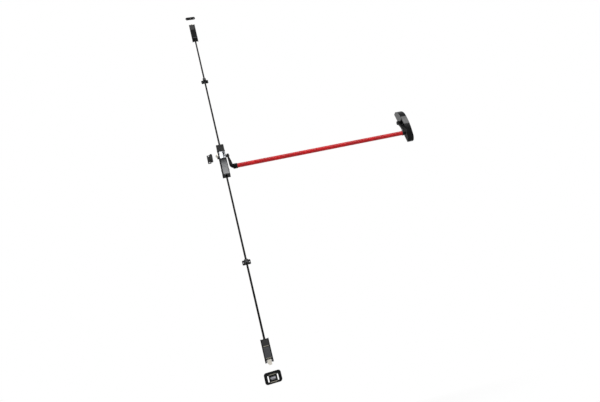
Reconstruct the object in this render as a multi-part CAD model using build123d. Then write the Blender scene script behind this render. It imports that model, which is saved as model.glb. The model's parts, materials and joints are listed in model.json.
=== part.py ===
from build123d import *
import os
from math import acos, atan2, cos, degrees, hypot, pi, radians, sin, sqrt, tan

# Surface-mounted multipoint panic lock: a push bar on two cranked arms turns a shaft in the
# lock, whose gears draw an upper rod down, a lower rod up and a side latch back.
# Millimetres. The door's face is the plane Y = 0 and the lock stands out of it towards -Y.
# X runs along the bar, Z is up, and the origin is on the door's face behind the bar's pivot,
# on the line of the two rods. Cutters reach 1 mm past the faces that they cut.

os.makedirs("parts", exist_ok=True)

# Clearances
running_clearance = 0.08
slide_clearance = 0.2
loose_clearance = 0.5
wide_clearance = 1.0

# Gears: pitch sizes come from the module and the tooth counts
gear_module = 1.0
sector_teeth = 56
pinion_teeth = 16
pressure_angle = radians(20.0)
gear_backlash = 0.24
tooth_addendum = 0.9 * gear_module
tooth_dedendum = 1.25 * gear_module
sector_radius = sector_teeth * gear_module / 2
pinion_radius = pinion_teeth * gear_module / 2
bar_swing = 22.0
bolt_travel = sector_radius * radians(bar_swing)

# Rods and their line in front of the door
rod_offset = 16.0
rod_diameter = 9.0
rod_seat_depth = 12.0
cross_pin_diameter = 3.5
pin_inset = 0.3

# Push bar and its arms
bar_out = 60.0
bar_drop = 99.0
bar_diameter = 22.0
bar_wall = 1.5
arm_span = 958.0
arm_gap = 5.0
hub_width = 10.0
hub_radius = 10.5
lever_width = 16.0
lever_thickness = 10.0
lever_edge = 4.0
lever_swell = 6.5
arm_throat = 12.0
arm_bend = 24.0
socket_wall = 2.0
socket_length = 20.0
socket_reach = 6.0
tube_seat_depth = 12.0
arm_screw_diameter = 6.0
arm_screw_head = 11.0
arm_screw_head_height = 2.4
grub_diameter = 5.0
grub_key_radius = 1.3
grub_key_depth = 1.0
grub_inset = 0.3
arm_screw_length = 8.0
arm_screw_key = 2.6
arm_screw_key_depth = 1.4
arm_screw_round = 0.8
arm_tail = 4.0
arm_tail_height = 19.0
heel_share = 0.55
socket_round = 5.0

# Lock body
lock_width = 38.0
lock_above = 65.0
lock_below = 118.0
cover_wall = 2.0
case_sheet = 1.5
base_sheet = 2.0
cover_edge = 3.5
steel_above = 23.0
steel_below = 19.0
rack_body = 3.2
rack_width = 9.0
rack_right = -1.0
rack_gap = 0.55
head_wall = 1.5
cap_thickness = 2.5
cap_rim = 0.6
cap_plug_height = 3.0
top_edge = 1.0
window_low = -9.0
window_high = 19.0
window_margin = 3.0
peep_radius = 1.6
peep_left = -12.5
peep_low = -13.5
peep_high = 18.5
cover_screw_radius = 1.5
cover_screw_head = 2.8
cover_screw_head_height = 1.4
cover_screw_above = 12.0
cover_screw_below = 34.0
screw_slot_width = 0.8
screw_slot_depth = 0.6
lock_hole_radius = 2.5
lock_hole_pitch_x = 20.0
lock_hole_pitch_z = 160.0
lock_hole_top = 53.0

# Lock mechanism
sector_width = 5.0
sector_hub_radius = 8.5
sector_square = 9.0
pinion_bore_radius = 3.0
shaft_journal_radius = 4.0
shaft_body_radius = 7.0
arm_square = 9.5
bracket_width = 4.0
bracket_left = 0.5
bracket_front = 8.5
bracket_below = 4.0
bracket_foot = 7.0
bracket_foot_sheet = 2.0
bracket_blind = 1.0
sector_gap = 2.0
sector_cut_teeth = 5
sector_neck_share = 0.9
sector_neck_angle = 0.5
sector_hole_share = 0.62
sector_hole_radius = 2.6
spacer_wall = 1.6
axle_chamfer = 0.4
bush_wall = 2.0
bush_flange = 2.0
bush_inside = 2.0
ring_width = 1.3
ring_wall = 2.4
ring_inset = 1.0
rack_teeth_before = 2
rack_teeth_after = 5
rack_head_length = 15.0
lower_head_drop = 86.0
seat_sheet = 2.0
seat_drop = 56.0

# Side latch and deadlocking trigger
latch_low = 4.5
latch_height = 12.0
latch_depth = 13.5
latch_reach = 12.5
latch_body_inside = 3.0
latch_tail = 5.2
latch_tail_height = 6.0
latch_ratio = 1.25
latch_bevel = 9.0
latch_nose_flat = 3.5
latch_pin_diameter = 3.5
latch_pin_inset = 0.4
latch_pin_depth = 3.0
cam_wall = 1.7
trigger_low = -8.0
trigger_height = 6.0
trigger_depth = 10.0
trigger_reach = 6.5
trigger_travel = 6.0
trigger_inside = 6.0
trigger_shoulder = 1.0
trigger_gap = 0.1
trigger_chamfer = 1.2
latch_plate_sheet = 2.0
latch_plate_front = 2.0
latch_plate_back = 2.0
latch_plate_below = 4.0
latch_plate_above = 3.0
latch_plate_corner = 1.5

# Bolt cases at the ends of the rods
case_width = 34.0
case_depth = 28.0
case_wall = 3.0
panel_proud = 3.0
panel_sheet = 2.0
panel_edge = 1.2
cap_step = 1.2
case_edge = 0.9
skirt_depth = 10.0
plug_clearance = 0.05
upper_case_low = 869.0
upper_case_high = 989.0
lower_case_low = -995.0
lower_case_high = -920.0
cap_share = 0.38
foot_long = 13.0
foot_short = 3.5
guide_length = 12.0
bush_length = 6.0
case_hole_radius = 2.2
case_hole_pitch_x = 22.0
upper_hole_pitch_z = 60.0
lower_hole_pitch_z = 36.0

# Bolts
bolt_length = 50.0
upper_bolt_diameter = 12.0
lower_bolt_width = 17.0
lower_bolt_depth = 12.0
upper_bolt_reach = 15.0
lower_bolt_reach = 23.0
bolt_bevel = 8.0
upper_bolt_chamfer = 2.0
lower_bolt_corner = 1.5

# Rod guides
guide_width = 38.0
guide_height = 22.0
guide_foot = 4.0
guide_saddle_width = 18.0
guide_saddle_height = 16.0
guide_saddle_wall = 3.5
guide_hole_radius = 2.2
guide_hole_pitch = 28.0
liner_wall = 2.0
guide_corner = 4.0
guide_saddle_round = 7.0
upper_guide_height = 533.0
lower_guide_height = -574.0

# Support at the bar's far end
support_width = 34.0
support_top = 72.0
support_bottom = -122.0
support_top_depth = 19.0
support_nose_height = 8.0
support_nose_depth = 50.0
support_toe_height = -110.0
support_toe_depth = 27.0
support_heel_depth = 13.0
support_brow = 7.5
support_brow_lift = 5.5
support_belly = 7.0
support_chin_radius = 9.0
inset_at_shoulder = 0.4
inset_at_heel = 0.3
support_wall = 2.5
support_edge = 1.6
support_sheet = 3.0
support_block_width = 14.0
support_block_height = 24.0
support_hole_radius = 2.5
support_hole_pitch = 164.0
support_hole_top = 56.0
tab_length = 12.0
tab_depth = 9.0
tab_sheet = 3.5
end_plate_gap = 0.3
end_screw_radius = 1.6
end_screw_head = 3.0
end_screw_head_height = 1.5
block_gap = 3.5
block_foot_sheet = 3.0
block_foot_reach = 9.0
block_rib_inset = 4.0
block_rib_front = 6.0
block_rib_reach = 6.0
end_bush_proud = 1.0
end_shaft_proud = 4.0

# Strikes
strike_length = 58.0
strike_depth = 18.0
strike_sheet = 3.0
strike_hole_pitch = 42.0
strike_hole_radius = 2.2
strike_chamfer = 0.8
strike_gap = 69.0
keep_left = -75.0
keep_right = -47.0
keep_foot = 4.0
keep_foot_width = 17.0
keep_foot_middle = 7.0
keep_foot_height = 50.0
keep_foot_corner = 3.0
keep_body_width = 14.0
keep_depth = 26.0
keep_corner = 6.5
keep_wall = 5.0
keep_room = 0.6
keep_hole_radius = 2.6
keep_hole_pitch = 38.0
keep_hole_inset = 8.5
keep_below = 4.0
keep_edge = 1.0
floor_width = 68.0
floor_length = 44.0
floor_thickness = 12.0
floor_corner = 10.0
floor_gap = 69.0
floor_edge = 2.0
floor_recess_corner = 3.0
floor_recess_chamfer = 0.9
floor_pocket_width = 25.0
floor_pocket_length = 23.0
floor_recess_width = 46.0
floor_recess_length = 31.0
floor_recess_depth = 3.0
floor_recess_drop = 2.4
floor_skin = 1.5
slot_width = 5.0
slot_length = 24.0
slot_pitch = 38.2
insert_width = 21.0
insert_length = 10.5
insert_height = 5.5
insert_base = 2.5
insert_end_length = 4.0
insert_end_drop = 0.4
insert_saddle_drop = 1.4

# Springs
main_spring_wire = 1.4
main_spring_radius = 5.2
main_spring_turns = 7
spigot_radius = 3.5
spigot_length = 9.0
bolt_spring_wire = 1.2
bolt_spring_radius = 6.6
upper_spring_turns = 13
lower_spring_turns = 8
trigger_spring_wire = 0.6
trigger_spring_radius = 2.0
trigger_spring_turns = 4

# Places worked out from the sizes above
half_lock = lock_width / 2
half_case = half_lock - cover_wall
half_inside = half_case - case_sheet
rack_front = rod_offset + pinion_radius + tooth_dedendum + rack_body
inside_depth = rack_front + rack_gap
case_front = inside_depth + case_sheet
lock_depth = case_front + cover_wall
case_top = lock_above - cover_wall
case_bottom = -(lock_below - cap_thickness - wide_clearance)
pinion_z = -(sector_radius + pinion_radius)
rod_radius = rod_diameter / 2
rack_left = rack_right - rack_width
head_right = rod_radius + head_wall
sector_left = bracket_left + bracket_width + sector_gap
sector_right = sector_left + sector_width
pinion_left = rack_left - loose_clearance
pinion_right = sector_right + loose_clearance
latch_travel = bolt_travel * latch_ratio
latch_top = latch_low + latch_height
latch_middle = latch_top - latch_tail_height / 2
latch_outer = -(half_lock + latch_reach)
latch_step = -half_inside + latch_body_inside - case_sheet
latch_inner = latch_step + latch_tail
latch_pin_x = latch_inner - latch_tail / 2
slot_radius = latch_pin_diameter / 2 + slide_clearance
cam_left = latch_pin_x - slot_radius - cam_wall
cam_right = latch_pin_x + latch_travel + slot_radius + cam_wall
cam_bottom = latch_middle - bolt_travel - slot_radius - cam_wall
cam_top = latch_middle + slot_radius + cam_wall
head_bottom = latch_top + bolt_travel + wide_clearance
head_top = head_bottom + rack_head_length
arm_centre = half_lock + arm_gap + hub_width / 2
support_left = half_lock + arm_span
support_right = support_left + support_width
bar_middle = half_lock + arm_span / 2
arm_length = hypot(bar_out - rod_offset, bar_drop)
arm_tilt = degrees(atan2(bar_out - rod_offset, bar_drop))
socket_radius = bar_diameter / 2 + socket_wall
socket_end = arm_centre + arm_bend + socket_reach
tube_end = socket_end - tube_seat_depth
support_block_left = support_left + support_wall + block_gap
end_shaft_end = support_block_left + support_block_width + end_shaft_proud
strike_height = upper_case_high + strike_gap
floor_height = lower_case_low - floor_gap
recess_height = floor_height - floor_recess_drop


def block(x0, x1, y0, y1, z0, z1):
    """Box between two corners."""
    centre = Pos((x0 + x1) / 2, (y0 + y1) / 2, (z0 + z1) / 2)
    return centre * Box(abs(x1 - x0), abs(y1 - y0), abs(z1 - z0))


def bar_x(radius, x0, x1, y, z):
    """Round bar along X."""
    return Pos((x0 + x1) / 2, y, z) * Rot(0, 90, 0) * Cylinder(radius, abs(x1 - x0))


def bar_y(radius, y0, y1, x, z):
    """Round bar along Y."""
    return Pos(x, (y0 + y1) / 2, z) * Rot(90, 0, 0) * Cylinder(radius, abs(y1 - y0))


def bar_z(radius, z0, z1, x, y):
    """Round bar along Z."""
    return Pos(x, y, (z0 + z1) / 2) * Cylinder(radius, abs(z1 - z0))


def slab_x(outline, x0, x1):
    """Outline of (y, z) points, given thickness from x0 to x1."""
    face = make_face(Polyline(*outline, close=True))
    return extrude(Plane.YZ.offset(x0) * face, x1 - x0)


def slab_y(outline, y0, y1):
    """Outline of (x, z) points, given thickness from y0 up to y1."""
    face = make_face(Polyline(*outline, close=True))
    return extrude(Plane.XZ.offset(-y1) * face, y1 - y0)


def square_x(side, x0, x1, y, z):
    """Square bar along X."""
    return block(x0, x1, y - side / 2, y + side / 2, z - side / 2, z + side / 2)


def four_holes(radius, pitch_x, z_low, z_high, y0, y1):
    """Four round cutters along Y on a rectangle."""
    spots = [(x, z) for x in (-pitch_x / 2, pitch_x / 2) for z in (z_low, z_high)]
    return [bar_y(radius, y0, y1, x, z) for x, z in spots]


def helix_point(radius, pitch, angle):
    """Point of a helix about Z at an angle in radians."""
    return Vector(radius * cos(angle), radius * sin(angle), pitch * angle / (2 * pi))


def helix_tangent(radius, pitch, angle):
    """Direction of a helix about Z at an angle in radians."""
    return Vector(-radius * sin(angle), radius * cos(angle), pitch / (2 * pi)).normalized()


def coil(radius, wire, length, turns):
    """Compression spring about Z from 0 to length, each half turn made of two tangent arcs."""
    pitch = (length - wire) / turns
    edges = []
    for half in range(2 * turns):
        start = helix_point(radius, pitch, half * pi)
        end = helix_point(radius, pitch, (half + 1) * pi)
        leave = helix_tangent(radius, pitch, half * pi)
        arrive = helix_tangent(radius, pitch, (half + 1) * pi)
        chord = end - start
        along = chord.dot(leave + arrive)
        spread = 2 * (1 - leave.dot(arrive))
        reach = (sqrt(along * along + spread * chord.dot(chord)) - along) / spread
        first = start + leave * reach
        second = end - arrive * reach
        join = (first + second) * 0.5
        edges.append(TangentArc(start, join, tangent=leave))
        edges.append(TangentArc(join, end, tangent=second - first))
    section = Plane(origin=(radius, 0, 0), z_dir=helix_tangent(radius, pitch, 0)) * Circle(wire / 2)
    spring = sweep(section, path=Wire([edge.edge() for edge in edges]))
    print(f"coil of {turns} turns, gap between turns {pitch - wire:.2f} mm")
    return Pos(0, 0, wire / 2) * spring


def involute_half_angle(pitch_radius, radius):
    """Half the angle that a tooth fills at a radius, thinner than standard by the backlash."""
    base_radius = pitch_radius * cos(pressure_angle)
    at_radius = acos(min(1.0, base_radius / radius))
    half_pitch = (pi * gear_module / 2 - gear_backlash / 2) / (2 * pitch_radius)
    return half_pitch + tan(pressure_angle) - pressure_angle - tan(at_radius) + at_radius


def tooth_points(pitch_radius, centre_angle):
    """Outline of one gear tooth as (radius, angle) pairs, from one root to the other."""
    base_radius = pitch_radius * cos(pressure_angle)
    root_radius = pitch_radius - tooth_dedendum
    tip_radius = pitch_radius + tooth_addendum
    low_radius = max(base_radius, root_radius)
    radii = [root_radius, low_radius, pitch_radius, tip_radius]
    if low_radius == root_radius:
        radii = [root_radius, pitch_radius, tip_radius]
    rising = [(r, centre_angle - involute_half_angle(pitch_radius, max(r, low_radius))) for r in radii]
    falling = [(r, 2 * centre_angle - a) for r, a in reversed(rising)]
    return rising + falling


def gear_outline(pitch_radius, angles, centre_y, centre_z):
    """Outline in (y, z) of teeth at the given angles, measured from -Z towards -Y."""
    polar = [pair for angle in angles for pair in tooth_points(pitch_radius, angle)]
    return [(centre_y - r * sin(a), centre_z - r * cos(a)) for r, a in polar]


def rack_teeth(pitch_y, towards, centres, x0, x1):
    """Rack teeth at the given heights; towards is +1 or -1, the way that they point along Y."""
    half_pitch = pi * gear_module / 4 - gear_backlash / 4
    half_tip = half_pitch - tooth_addendum * tan(pressure_angle)
    half_root = half_pitch + tooth_dedendum * tan(pressure_angle)
    root_y = pitch_y - towards * tooth_dedendum
    tip_y = pitch_y + towards * tooth_addendum
    teeth = []
    for z in centres:
        outline = [(root_y, z - half_root), (tip_y, z - half_tip)]
        outline += [(tip_y, z + half_tip), (root_y, z + half_root)]
        teeth.append(slab_x(outline, x0, x1))
    return teeth


def lock_base_plate():
    plate = block(-half_case, half_case, -base_sheet, 0, case_bottom, case_top)
    low = lock_hole_top - lock_hole_pitch_z
    return plate - four_holes(lock_hole_radius, lock_hole_pitch_x, low, lock_hole_top, -base_sheet, 0)


def latch_hole(clearance):
    """Cutter for the latch's way out through the left wall and its plate."""
    y_front = -rod_offset - latch_depth / 2 - clearance
    y_back = -rod_offset + latch_depth / 2 + clearance
    low, high = latch_low - clearance, latch_top + clearance
    return block(-half_lock - 1, -half_inside + 1, y_front, y_back, low, high)


def trigger_hole(clearance):
    """Cutter for the trigger's way out through the left wall and its plate."""
    y_front = -rod_offset - trigger_depth / 2 - clearance
    y_back = -rod_offset + trigger_depth / 2 + clearance
    z_low = trigger_low - clearance
    z_high = trigger_low + trigger_height + clearance
    return block(-half_lock - 1, -half_inside + 1, y_front, y_back, z_low, z_high)


def lock_case():
    outer = block(-half_case, half_case, -case_front, -base_sheet, case_bottom, case_top)
    outer = fillet(outer.edges().filter_by(Axis.Z).group_by(Axis.Y)[0], case_sheet)
    inner = block(-half_inside, half_inside, -inside_depth, 0, case_bottom - 1, case_top + 1)
    case = outer - inner - latch_hole(slide_clearance) - trigger_hole(slide_clearance)
    bush_seat = shaft_body_radius + running_clearance + bush_wall
    case -= bar_x(bush_seat, 0, half_case + 1, -rod_offset, 0)
    case -= bar_x(pinion_bore_radius, -half_case - 1, half_case + 1, -rod_offset, pinion_z)
    window = block(cam_right + wide_clearance, half_inside - window_margin,
                   -case_front - 1, -inside_depth + 1, window_low, window_high)
    peep_holes = [bar_y(peep_radius, -case_front - 1, -inside_depth + 1, peep_left, z)
                  for z in (peep_low, peep_high)]
    return case - window - peep_holes


def cover_shell(z_low, z_high):
    """Outer skin of a black cover that slips over the steel case."""
    outer = block(-half_lock, half_lock, -lock_depth, 0, z_low, z_high)
    return fillet(outer.edges().filter_by(Axis.Z).group_by(Axis.Y)[0], cover_edge)


def cover_hollow(z_low, z_high):
    """Room inside a cover, which the steel case and its base plate fill."""
    hollow = block(-half_case, half_case, -case_front, 1, z_low, z_high)
    return fillet(hollow.edges().filter_by(Axis.Z).group_by(Axis.Y)[0], case_sheet)


def top_cover():
    shell = cover_shell(steel_above, lock_above)
    shell = chamfer(shell.faces().sort_by(Axis.Z)[-1].edges().group_by(Axis.Y)[0], top_edge)
    shell -= cover_hollow(steel_above - 1, case_top)
    shell -= bar_z(rod_radius + loose_clearance, case_top - 1, lock_above + 1, 0, -rod_offset)
    return shell - cover_screw_holes(cover_screw_heights()[0])


def lower_cover():
    low = -lock_below + cap_thickness
    shell = cover_shell(low, -steel_below) - cover_hollow(low - 1, -steel_below + 1)
    return shell - cover_screw_holes(cover_screw_heights()[1])


def cover_screw_heights():
    """Heights of the side screws of the top cover and of the lower cover."""
    return steel_above + cover_screw_above, -lock_below + cover_screw_below


def cover_screw_holes(height):
    return bar_x(cover_screw_radius, -half_lock - 1, half_lock + 1, -rod_offset, height)


def cover_screws():
    screws = []
    face = half_lock + cover_screw_head_height
    half_slot = screw_slot_width / 2
    for side in (-1, 1):
        for height in cover_screw_heights():
            shank = bar_x(cover_screw_radius, side * half_case, side * half_lock, -rod_offset, height)
            head = bar_x(cover_screw_head, side * half_lock, side * face, -rod_offset, height)
            slot = block(side * (face - screw_slot_depth), side * (face + 1), -rod_offset - cover_screw_head,
                         -rod_offset + cover_screw_head, height - half_slot, height + half_slot)
            screws.append(shank + head - slot)
    return Compound(children=screws)


def bottom_cap():
    low = -lock_below
    wide = half_lock + cap_rim
    plate = block(-wide, wide, -lock_depth - cap_rim, 0, low, low + cap_thickness)
    plate = fillet(plate.edges().filter_by(Axis.Z).group_by(Axis.Y)[0], cover_edge)
    plug_top = case_bottom + cap_plug_height
    plug = block(-half_inside, half_inside, -inside_depth, -base_sheet, low + cap_thickness, plug_top)
    cap = plate + plug
    return cap - bar_z(rod_radius + loose_clearance, low - 1, plug_top + 1, 0, -rod_offset)


def shaft_bracket():
    """Standing plate that carries the inner end of the drive shaft and backs the trigger's spring."""
    right = bracket_left + bracket_width
    top = latch_low + latch_height - latch_tail_height - wide_clearance
    low = trigger_low - bracket_below
    plate = block(bracket_left, right, -rod_offset - bracket_front, -base_sheet, low, top)
    foot = block(bracket_left, right + bracket_foot, -base_sheet - bracket_foot_sheet, -base_sheet, low, top)
    seat_radius = shaft_journal_radius + running_clearance
    seat = bar_x(seat_radius, bracket_left + bracket_blind, right + 1, -rod_offset, 0)
    return plate + foot - seat


def shaft_bush():
    """Flanged bush in the right wall of the case."""
    outer = shaft_body_radius + running_clearance + bush_wall
    sleeve = bar_x(outer, half_inside - bush_inside, half_lock, -rod_offset, 0)
    flange = bar_x(outer + bush_flange, half_case, half_case + bush_flange, -rod_offset, 0)
    return sleeve + flange - bar_x(shaft_body_radius + running_clearance, 0, half_lock + 1, -rod_offset, 0)


def pinion_axle():
    axle = bar_x(pinion_bore_radius, -half_case, half_case, -rod_offset, pinion_z)
    return chamfer(axle.edges().filter_by(GeomType.CIRCLE), axle_chamfer)


def pinion_spacers():
    """Two tubes on the axle that keep the pinion in line with the racks."""
    tubes = []
    spans = ((-half_inside, pinion_left - slide_clearance), (pinion_right + slide_clearance, half_inside))
    for x0, x1 in spans:
        tube = bar_x(pinion_bore_radius + spacer_wall, x0, x1, -rod_offset, pinion_z)
        tubes.append(tube - bar_x(pinion_bore_radius, x0 - 1, x1 + 1, -rod_offset, pinion_z))
    return Compound(children=tubes)


def pinion():
    angles = [2 * pi * tooth / pinion_teeth for tooth in range(pinion_teeth)]
    outline = gear_outline(pinion_radius, angles, -rod_offset, pinion_z)
    gear = slab_x(outline, pinion_left, pinion_right)
    bore_radius = pinion_bore_radius + running_clearance
    bore = bar_x(bore_radius, pinion_left - 1, pinion_right + 1, -rod_offset, pinion_z)
    return gear - bore


def sector_angles():
    """Tooth centres of the sector at rest, which stays in mesh over the bar's whole swing."""
    step = 2 * pi / sector_teeth
    return [(tooth - 0.5) * step for tooth in range(sector_cut_teeth)]


def sector_gear():
    angles = sector_angles()
    outline = gear_outline(sector_radius, angles, -rod_offset, 0)
    neck = sector_hub_radius * sector_neck_share
    start, end = angles[0] - sector_neck_angle, angles[-1] + sector_neck_angle
    first = (-rod_offset - neck * sin(start), -neck * cos(start))
    last = (-rod_offset - neck * sin(end), -neck * cos(end))
    wedge = slab_x([first] + outline + [last], sector_left, sector_right)
    hub = bar_x(sector_hub_radius, sector_left, sector_right, -rod_offset, 0)
    gear = wedge + hub - square_x(sector_square, sector_left - 1, sector_right + 1, -rod_offset, 0)
    middle = (angles[0] + angles[-1]) / 2
    hole_reach = sector_radius * sector_hole_share
    hole_y = -rod_offset - hole_reach * sin(middle)
    hole_z = -hole_reach * cos(middle)
    return gear - bar_x(sector_hole_radius, sector_left - 1, sector_right + 1, hole_y, hole_z)


def drive_shaft():
    """Shaft from the bracket, through the sector and the bush, into the left arm's hub."""
    inner_end = bracket_left + bracket_blind + slide_clearance
    journal = bar_x(shaft_journal_radius, inner_end, sector_left, -rod_offset, 0)
    square = square_x(sector_square, sector_left, sector_right, -rod_offset, 0)
    shoulder, end = arm_centre - hub_width / 2, arm_centre + hub_width / 2
    body = bar_x(shaft_body_radius, sector_right, shoulder, -rod_offset, 0)
    drive = square_x(arm_square, shoulder, end, -rod_offset, 0)
    tapped = bar_x(arm_screw_diameter / 2, shoulder, end + 1, -rod_offset, 0)
    return journal + square + body + drive - tapped


def end_shaft():
    """Short shaft that carries the right arm in the far support."""
    inner = support_left - arm_gap
    drive = square_x(arm_square, inner - hub_width, inner, -rod_offset, 0)
    body = bar_x(shaft_body_radius, inner, end_shaft_end, -rod_offset, 0)
    tapped = bar_x(arm_screw_diameter / 2, inner - hub_width - 1, inner, -rod_offset, 0)
    return drive + body - tapped


def retaining_rings():
    """Ring beside the sector and ring at the end of the far support's shaft."""
    rings = []
    places = ((sector_left - ring_width, shaft_journal_radius),
              (end_shaft_end - ring_width - ring_inset, shaft_body_radius))
    for x, radius in places:
        ring = bar_x(radius + ring_wall, x, x + ring_width, -rod_offset, 0)
        rings.append(ring - bar_x(radius, x - 1, x + ring_width + 1, -rod_offset, 0))
    return Compound(children=rings)


def arm_lever():
    """Flat lever that runs down Z, widens towards the bar and turns into the socket's line."""
    half = lever_thickness / 2
    wide = half + lever_swell
    bend_top = arm_bend - arm_length
    low = -arm_length - arm_tail_height / 2
    high = -arm_length + arm_tail_height / 2
    neck = -hub_radius - lever_edge / 2
    end = arm_bend + arm_tail
    heel = Bezier((-half, bend_top), (-half, bend_top - heel_share * (bend_top - low)),
                  (arm_bend - heel_share * (arm_bend + half), low), (arm_bend, low))
    throat = TangentArc((wide + arm_throat, high), (wide, high + arm_throat), tangent=(-1, 0))
    swell = Spline((wide, high + arm_throat), (half, neck), tangents=((0, 1), (0, 1)))
    lines = [
        Line((half, 0), (-half, 0)), Line((-half, 0), (-half, bend_top)), heel,
        Line((arm_bend, low), (end, low)), Line((end, low), (end, high)),
        Line((end, high), (wide + arm_throat, high)), throat, swell, Line((half, neck), (half, 0)),
    ]
    lever = extrude(Plane.XZ * make_face(Curve() + lines), lever_width / 2, both=True)
    sides = lever.faces().filter_by(Axis.Y)
    return fillet(sides.edges(), lever_edge)


def left_arm():
    """Cranked arm: hub on the shaft, flat lever, bend and socket for the bar's tube."""
    hub = bar_x(hub_radius, -hub_width / 2, hub_width / 2, 0, 0)
    socket_start = socket_end - socket_length - arm_centre
    socket = bar_x(socket_radius, socket_start, socket_end - arm_centre, 0, -arm_length)
    closed_end = socket.faces().sort_by(Axis.X)[0].edges()
    socket = fillet(closed_end, socket_round)
    arm = Rot(-arm_tilt, 0, 0) * (arm_lever() + hub + socket)
    arm = Pos(arm_centre, -rod_offset, 0) * arm
    arm -= square_x(arm_square, 0, arm_centre + hub_width, -rod_offset, 0)
    arm -= bar_x(bar_diameter / 2, tube_end, socket_end + 1, -bar_out, -bar_drop)
    return arm - grub_place()


def grub_place():
    """Threaded hole under the left socket for the screw that holds the tube."""
    x = socket_end - tube_seat_depth / 2
    return bar_z(grub_diameter / 2, -bar_drop - socket_radius - 1, -bar_drop, x, -bar_out)


def far_copy(shape):
    """The same piece at the bar's far end."""
    return mirror(shape, about=Plane.YZ.offset(bar_middle))


def right_arm():
    return far_copy(left_arm())


def arm_grub_screws():
    x = socket_end - tube_seat_depth / 2
    low = -bar_drop - socket_radius + grub_inset
    screw = bar_z(grub_diameter / 2, low, -bar_drop - bar_diameter / 2, x, -bar_out)
    screw -= bar_z(grub_key_radius, low - 1, low + grub_key_depth, x, -bar_out)
    return Compound(children=[screw, far_copy(screw)])


def arm_screws():
    """Screws that hold the two arms on their squares."""
    face = arm_centre + hub_width / 2
    thread = bar_x(arm_screw_diameter / 2, face - arm_screw_length, face, -rod_offset, 0)
    head = bar_x(arm_screw_head / 2, face, face + arm_screw_head_height, -rod_offset, 0)
    head = fillet(head.faces().sort_by(Axis.X)[-1].edges(), arm_screw_round)
    key_floor = face + arm_screw_head_height - arm_screw_key_depth
    hexagon = extrude(Plane.YZ.offset(key_floor) * RegularPolygon(arm_screw_key, 6), arm_screw_head_height)
    screw = thread + head - Pos(0, -rod_offset, 0) * hexagon
    return Compound(children=[screw, far_copy(screw)])


def bar_tube():
    far_end = 2 * bar_middle - tube_end
    tube = bar_x(bar_diameter / 2, tube_end, far_end, -bar_out, -bar_drop)
    return tube - bar_x(bar_diameter / 2 - bar_wall, tube_end - 1, far_end + 1, -bar_out, -bar_drop)


def spring_seat():
    """Cross plate between the walls of the case, above the main spring, notched for the front rack."""
    top = -seat_drop
    low = top - seat_sheet
    plate = block(-half_inside, half_inside, -inside_depth, -base_sheet, low, top)
    notch_back = -rack_front + rack_body + loose_clearance
    left, right = rack_left - loose_clearance, rack_right + loose_clearance
    return plate - block(left, right, -inside_depth - 1, notch_back, low - 1, top + 1)


def rod_head(low, high, seat_low, seat_high, pin_z, y_front, y_back):
    """Head of a rack round the end of its rod, with the holes for the rod and its cross pin."""
    head = block(rack_left, head_right, y_front, y_back, low, high)
    head -= bar_z(rod_radius, seat_low, seat_high, 0, -rod_offset)
    return head - bar_x(cross_pin_diameter / 2, rack_left - 1, head_right + 1, -rod_offset, pin_z)


def upper_rack():
    """Rear rack, which goes down: teeth to the front and the head that holds the upper rod."""
    pitch_y = -rod_offset + pinion_radius
    root_y = pitch_y + tooth_dedendum
    teeth = range(-rack_teeth_before, rack_teeth_after)
    centres = [pinion_z + (tooth + 0.5) * pi * gear_module for tooth in teeth]
    low = centres[0] - pi * gear_module
    strip = block(rack_left, rack_right, root_y, root_y + rack_body, low, head_bottom)
    head = rod_head(head_bottom, head_top, head_top - rod_seat_depth, head_top + 1,
                    head_top - rod_seat_depth / 2, -rod_offset - rod_radius - head_wall, root_y + rack_body)
    return strip + head + rack_teeth(pitch_y, -1, centres, rack_left, rack_right)


def lower_rack():
    """Front rack, which goes up: cam plate of the latch, teeth, and the head of the lower rod."""
    pitch_y = -rod_offset - pinion_radius
    root_y = pitch_y - tooth_dedendum
    teeth = range(-rack_teeth_before, rack_teeth_after)
    centres = [pinion_z - (tooth + 0.5) * pi * gear_module for tooth in teeth]
    head_high = -lower_head_drop
    head_low = head_high - rack_head_length
    strip = block(rack_left, rack_right, -rack_front, root_y, head_high, cam_bottom)
    cam = block(cam_left, cam_right, -rack_front, root_y, cam_bottom, cam_top) - cam_slot(root_y)
    head = rod_head(head_low, head_high, head_low - 1, head_low + rod_seat_depth,
                    head_low + rod_seat_depth / 2, -rack_front, -rod_offset + rod_radius + head_wall)
    spigot = bar_z(spigot_radius, head_high, head_high + spigot_length, 0, -rod_offset)
    return strip + cam + head + spigot + rack_teeth(pitch_y, 1, centres, rack_left, rack_right)


def cam_slot(back):
    """Slanting slot of the cam plate: the plate goes up and draws the latch's pin to the right."""
    x0, z0 = latch_pin_x, latch_middle
    x1, z1 = latch_pin_x + latch_travel, latch_middle - bolt_travel
    slope = atan2(bolt_travel, latch_travel)
    side_x = slot_radius * sin(slope)
    side_z = slot_radius * cos(slope)
    outline = [(x0 - side_x, z0 - side_z), (x1 - side_x, z1 - side_z)]
    outline += [(x1 + side_x, z1 + side_z), (x0 + side_x, z0 + side_z)]
    ends = [bar_y(slot_radius, -rack_front - 1, back + 1, x, z) for x, z in ((x0, z0), (x1, z1))]
    return slab_y(outline, -rack_front - 1, back + 1) + ends


def latch():
    """Nickel latch with a bevelled nose, stepped down to a tail inside the case."""
    y_front = -rod_offset - latch_depth / 2
    y_back = -rod_offset + latch_depth / 2
    nose = latch_outer + latch_bevel
    outline = [(latch_outer, y_back), (latch_outer, y_back - latch_nose_flat), (nose, y_front)]
    outline += [(latch_step, y_front), (latch_step, y_back)]
    face = make_face(Polyline(*outline, close=True))
    head = extrude(Plane.XY.offset(latch_low) * face, latch_height)
    tail_low = latch_top - latch_tail_height
    tail = block(latch_step, latch_inner, y_front, y_back, tail_low, latch_top)
    hole_back = -rod_offset + latch_pin_depth
    hole = bar_y(latch_pin_diameter / 2, y_front - 1, hole_back, latch_pin_x, latch_middle)
    return head + tail - hole


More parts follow.
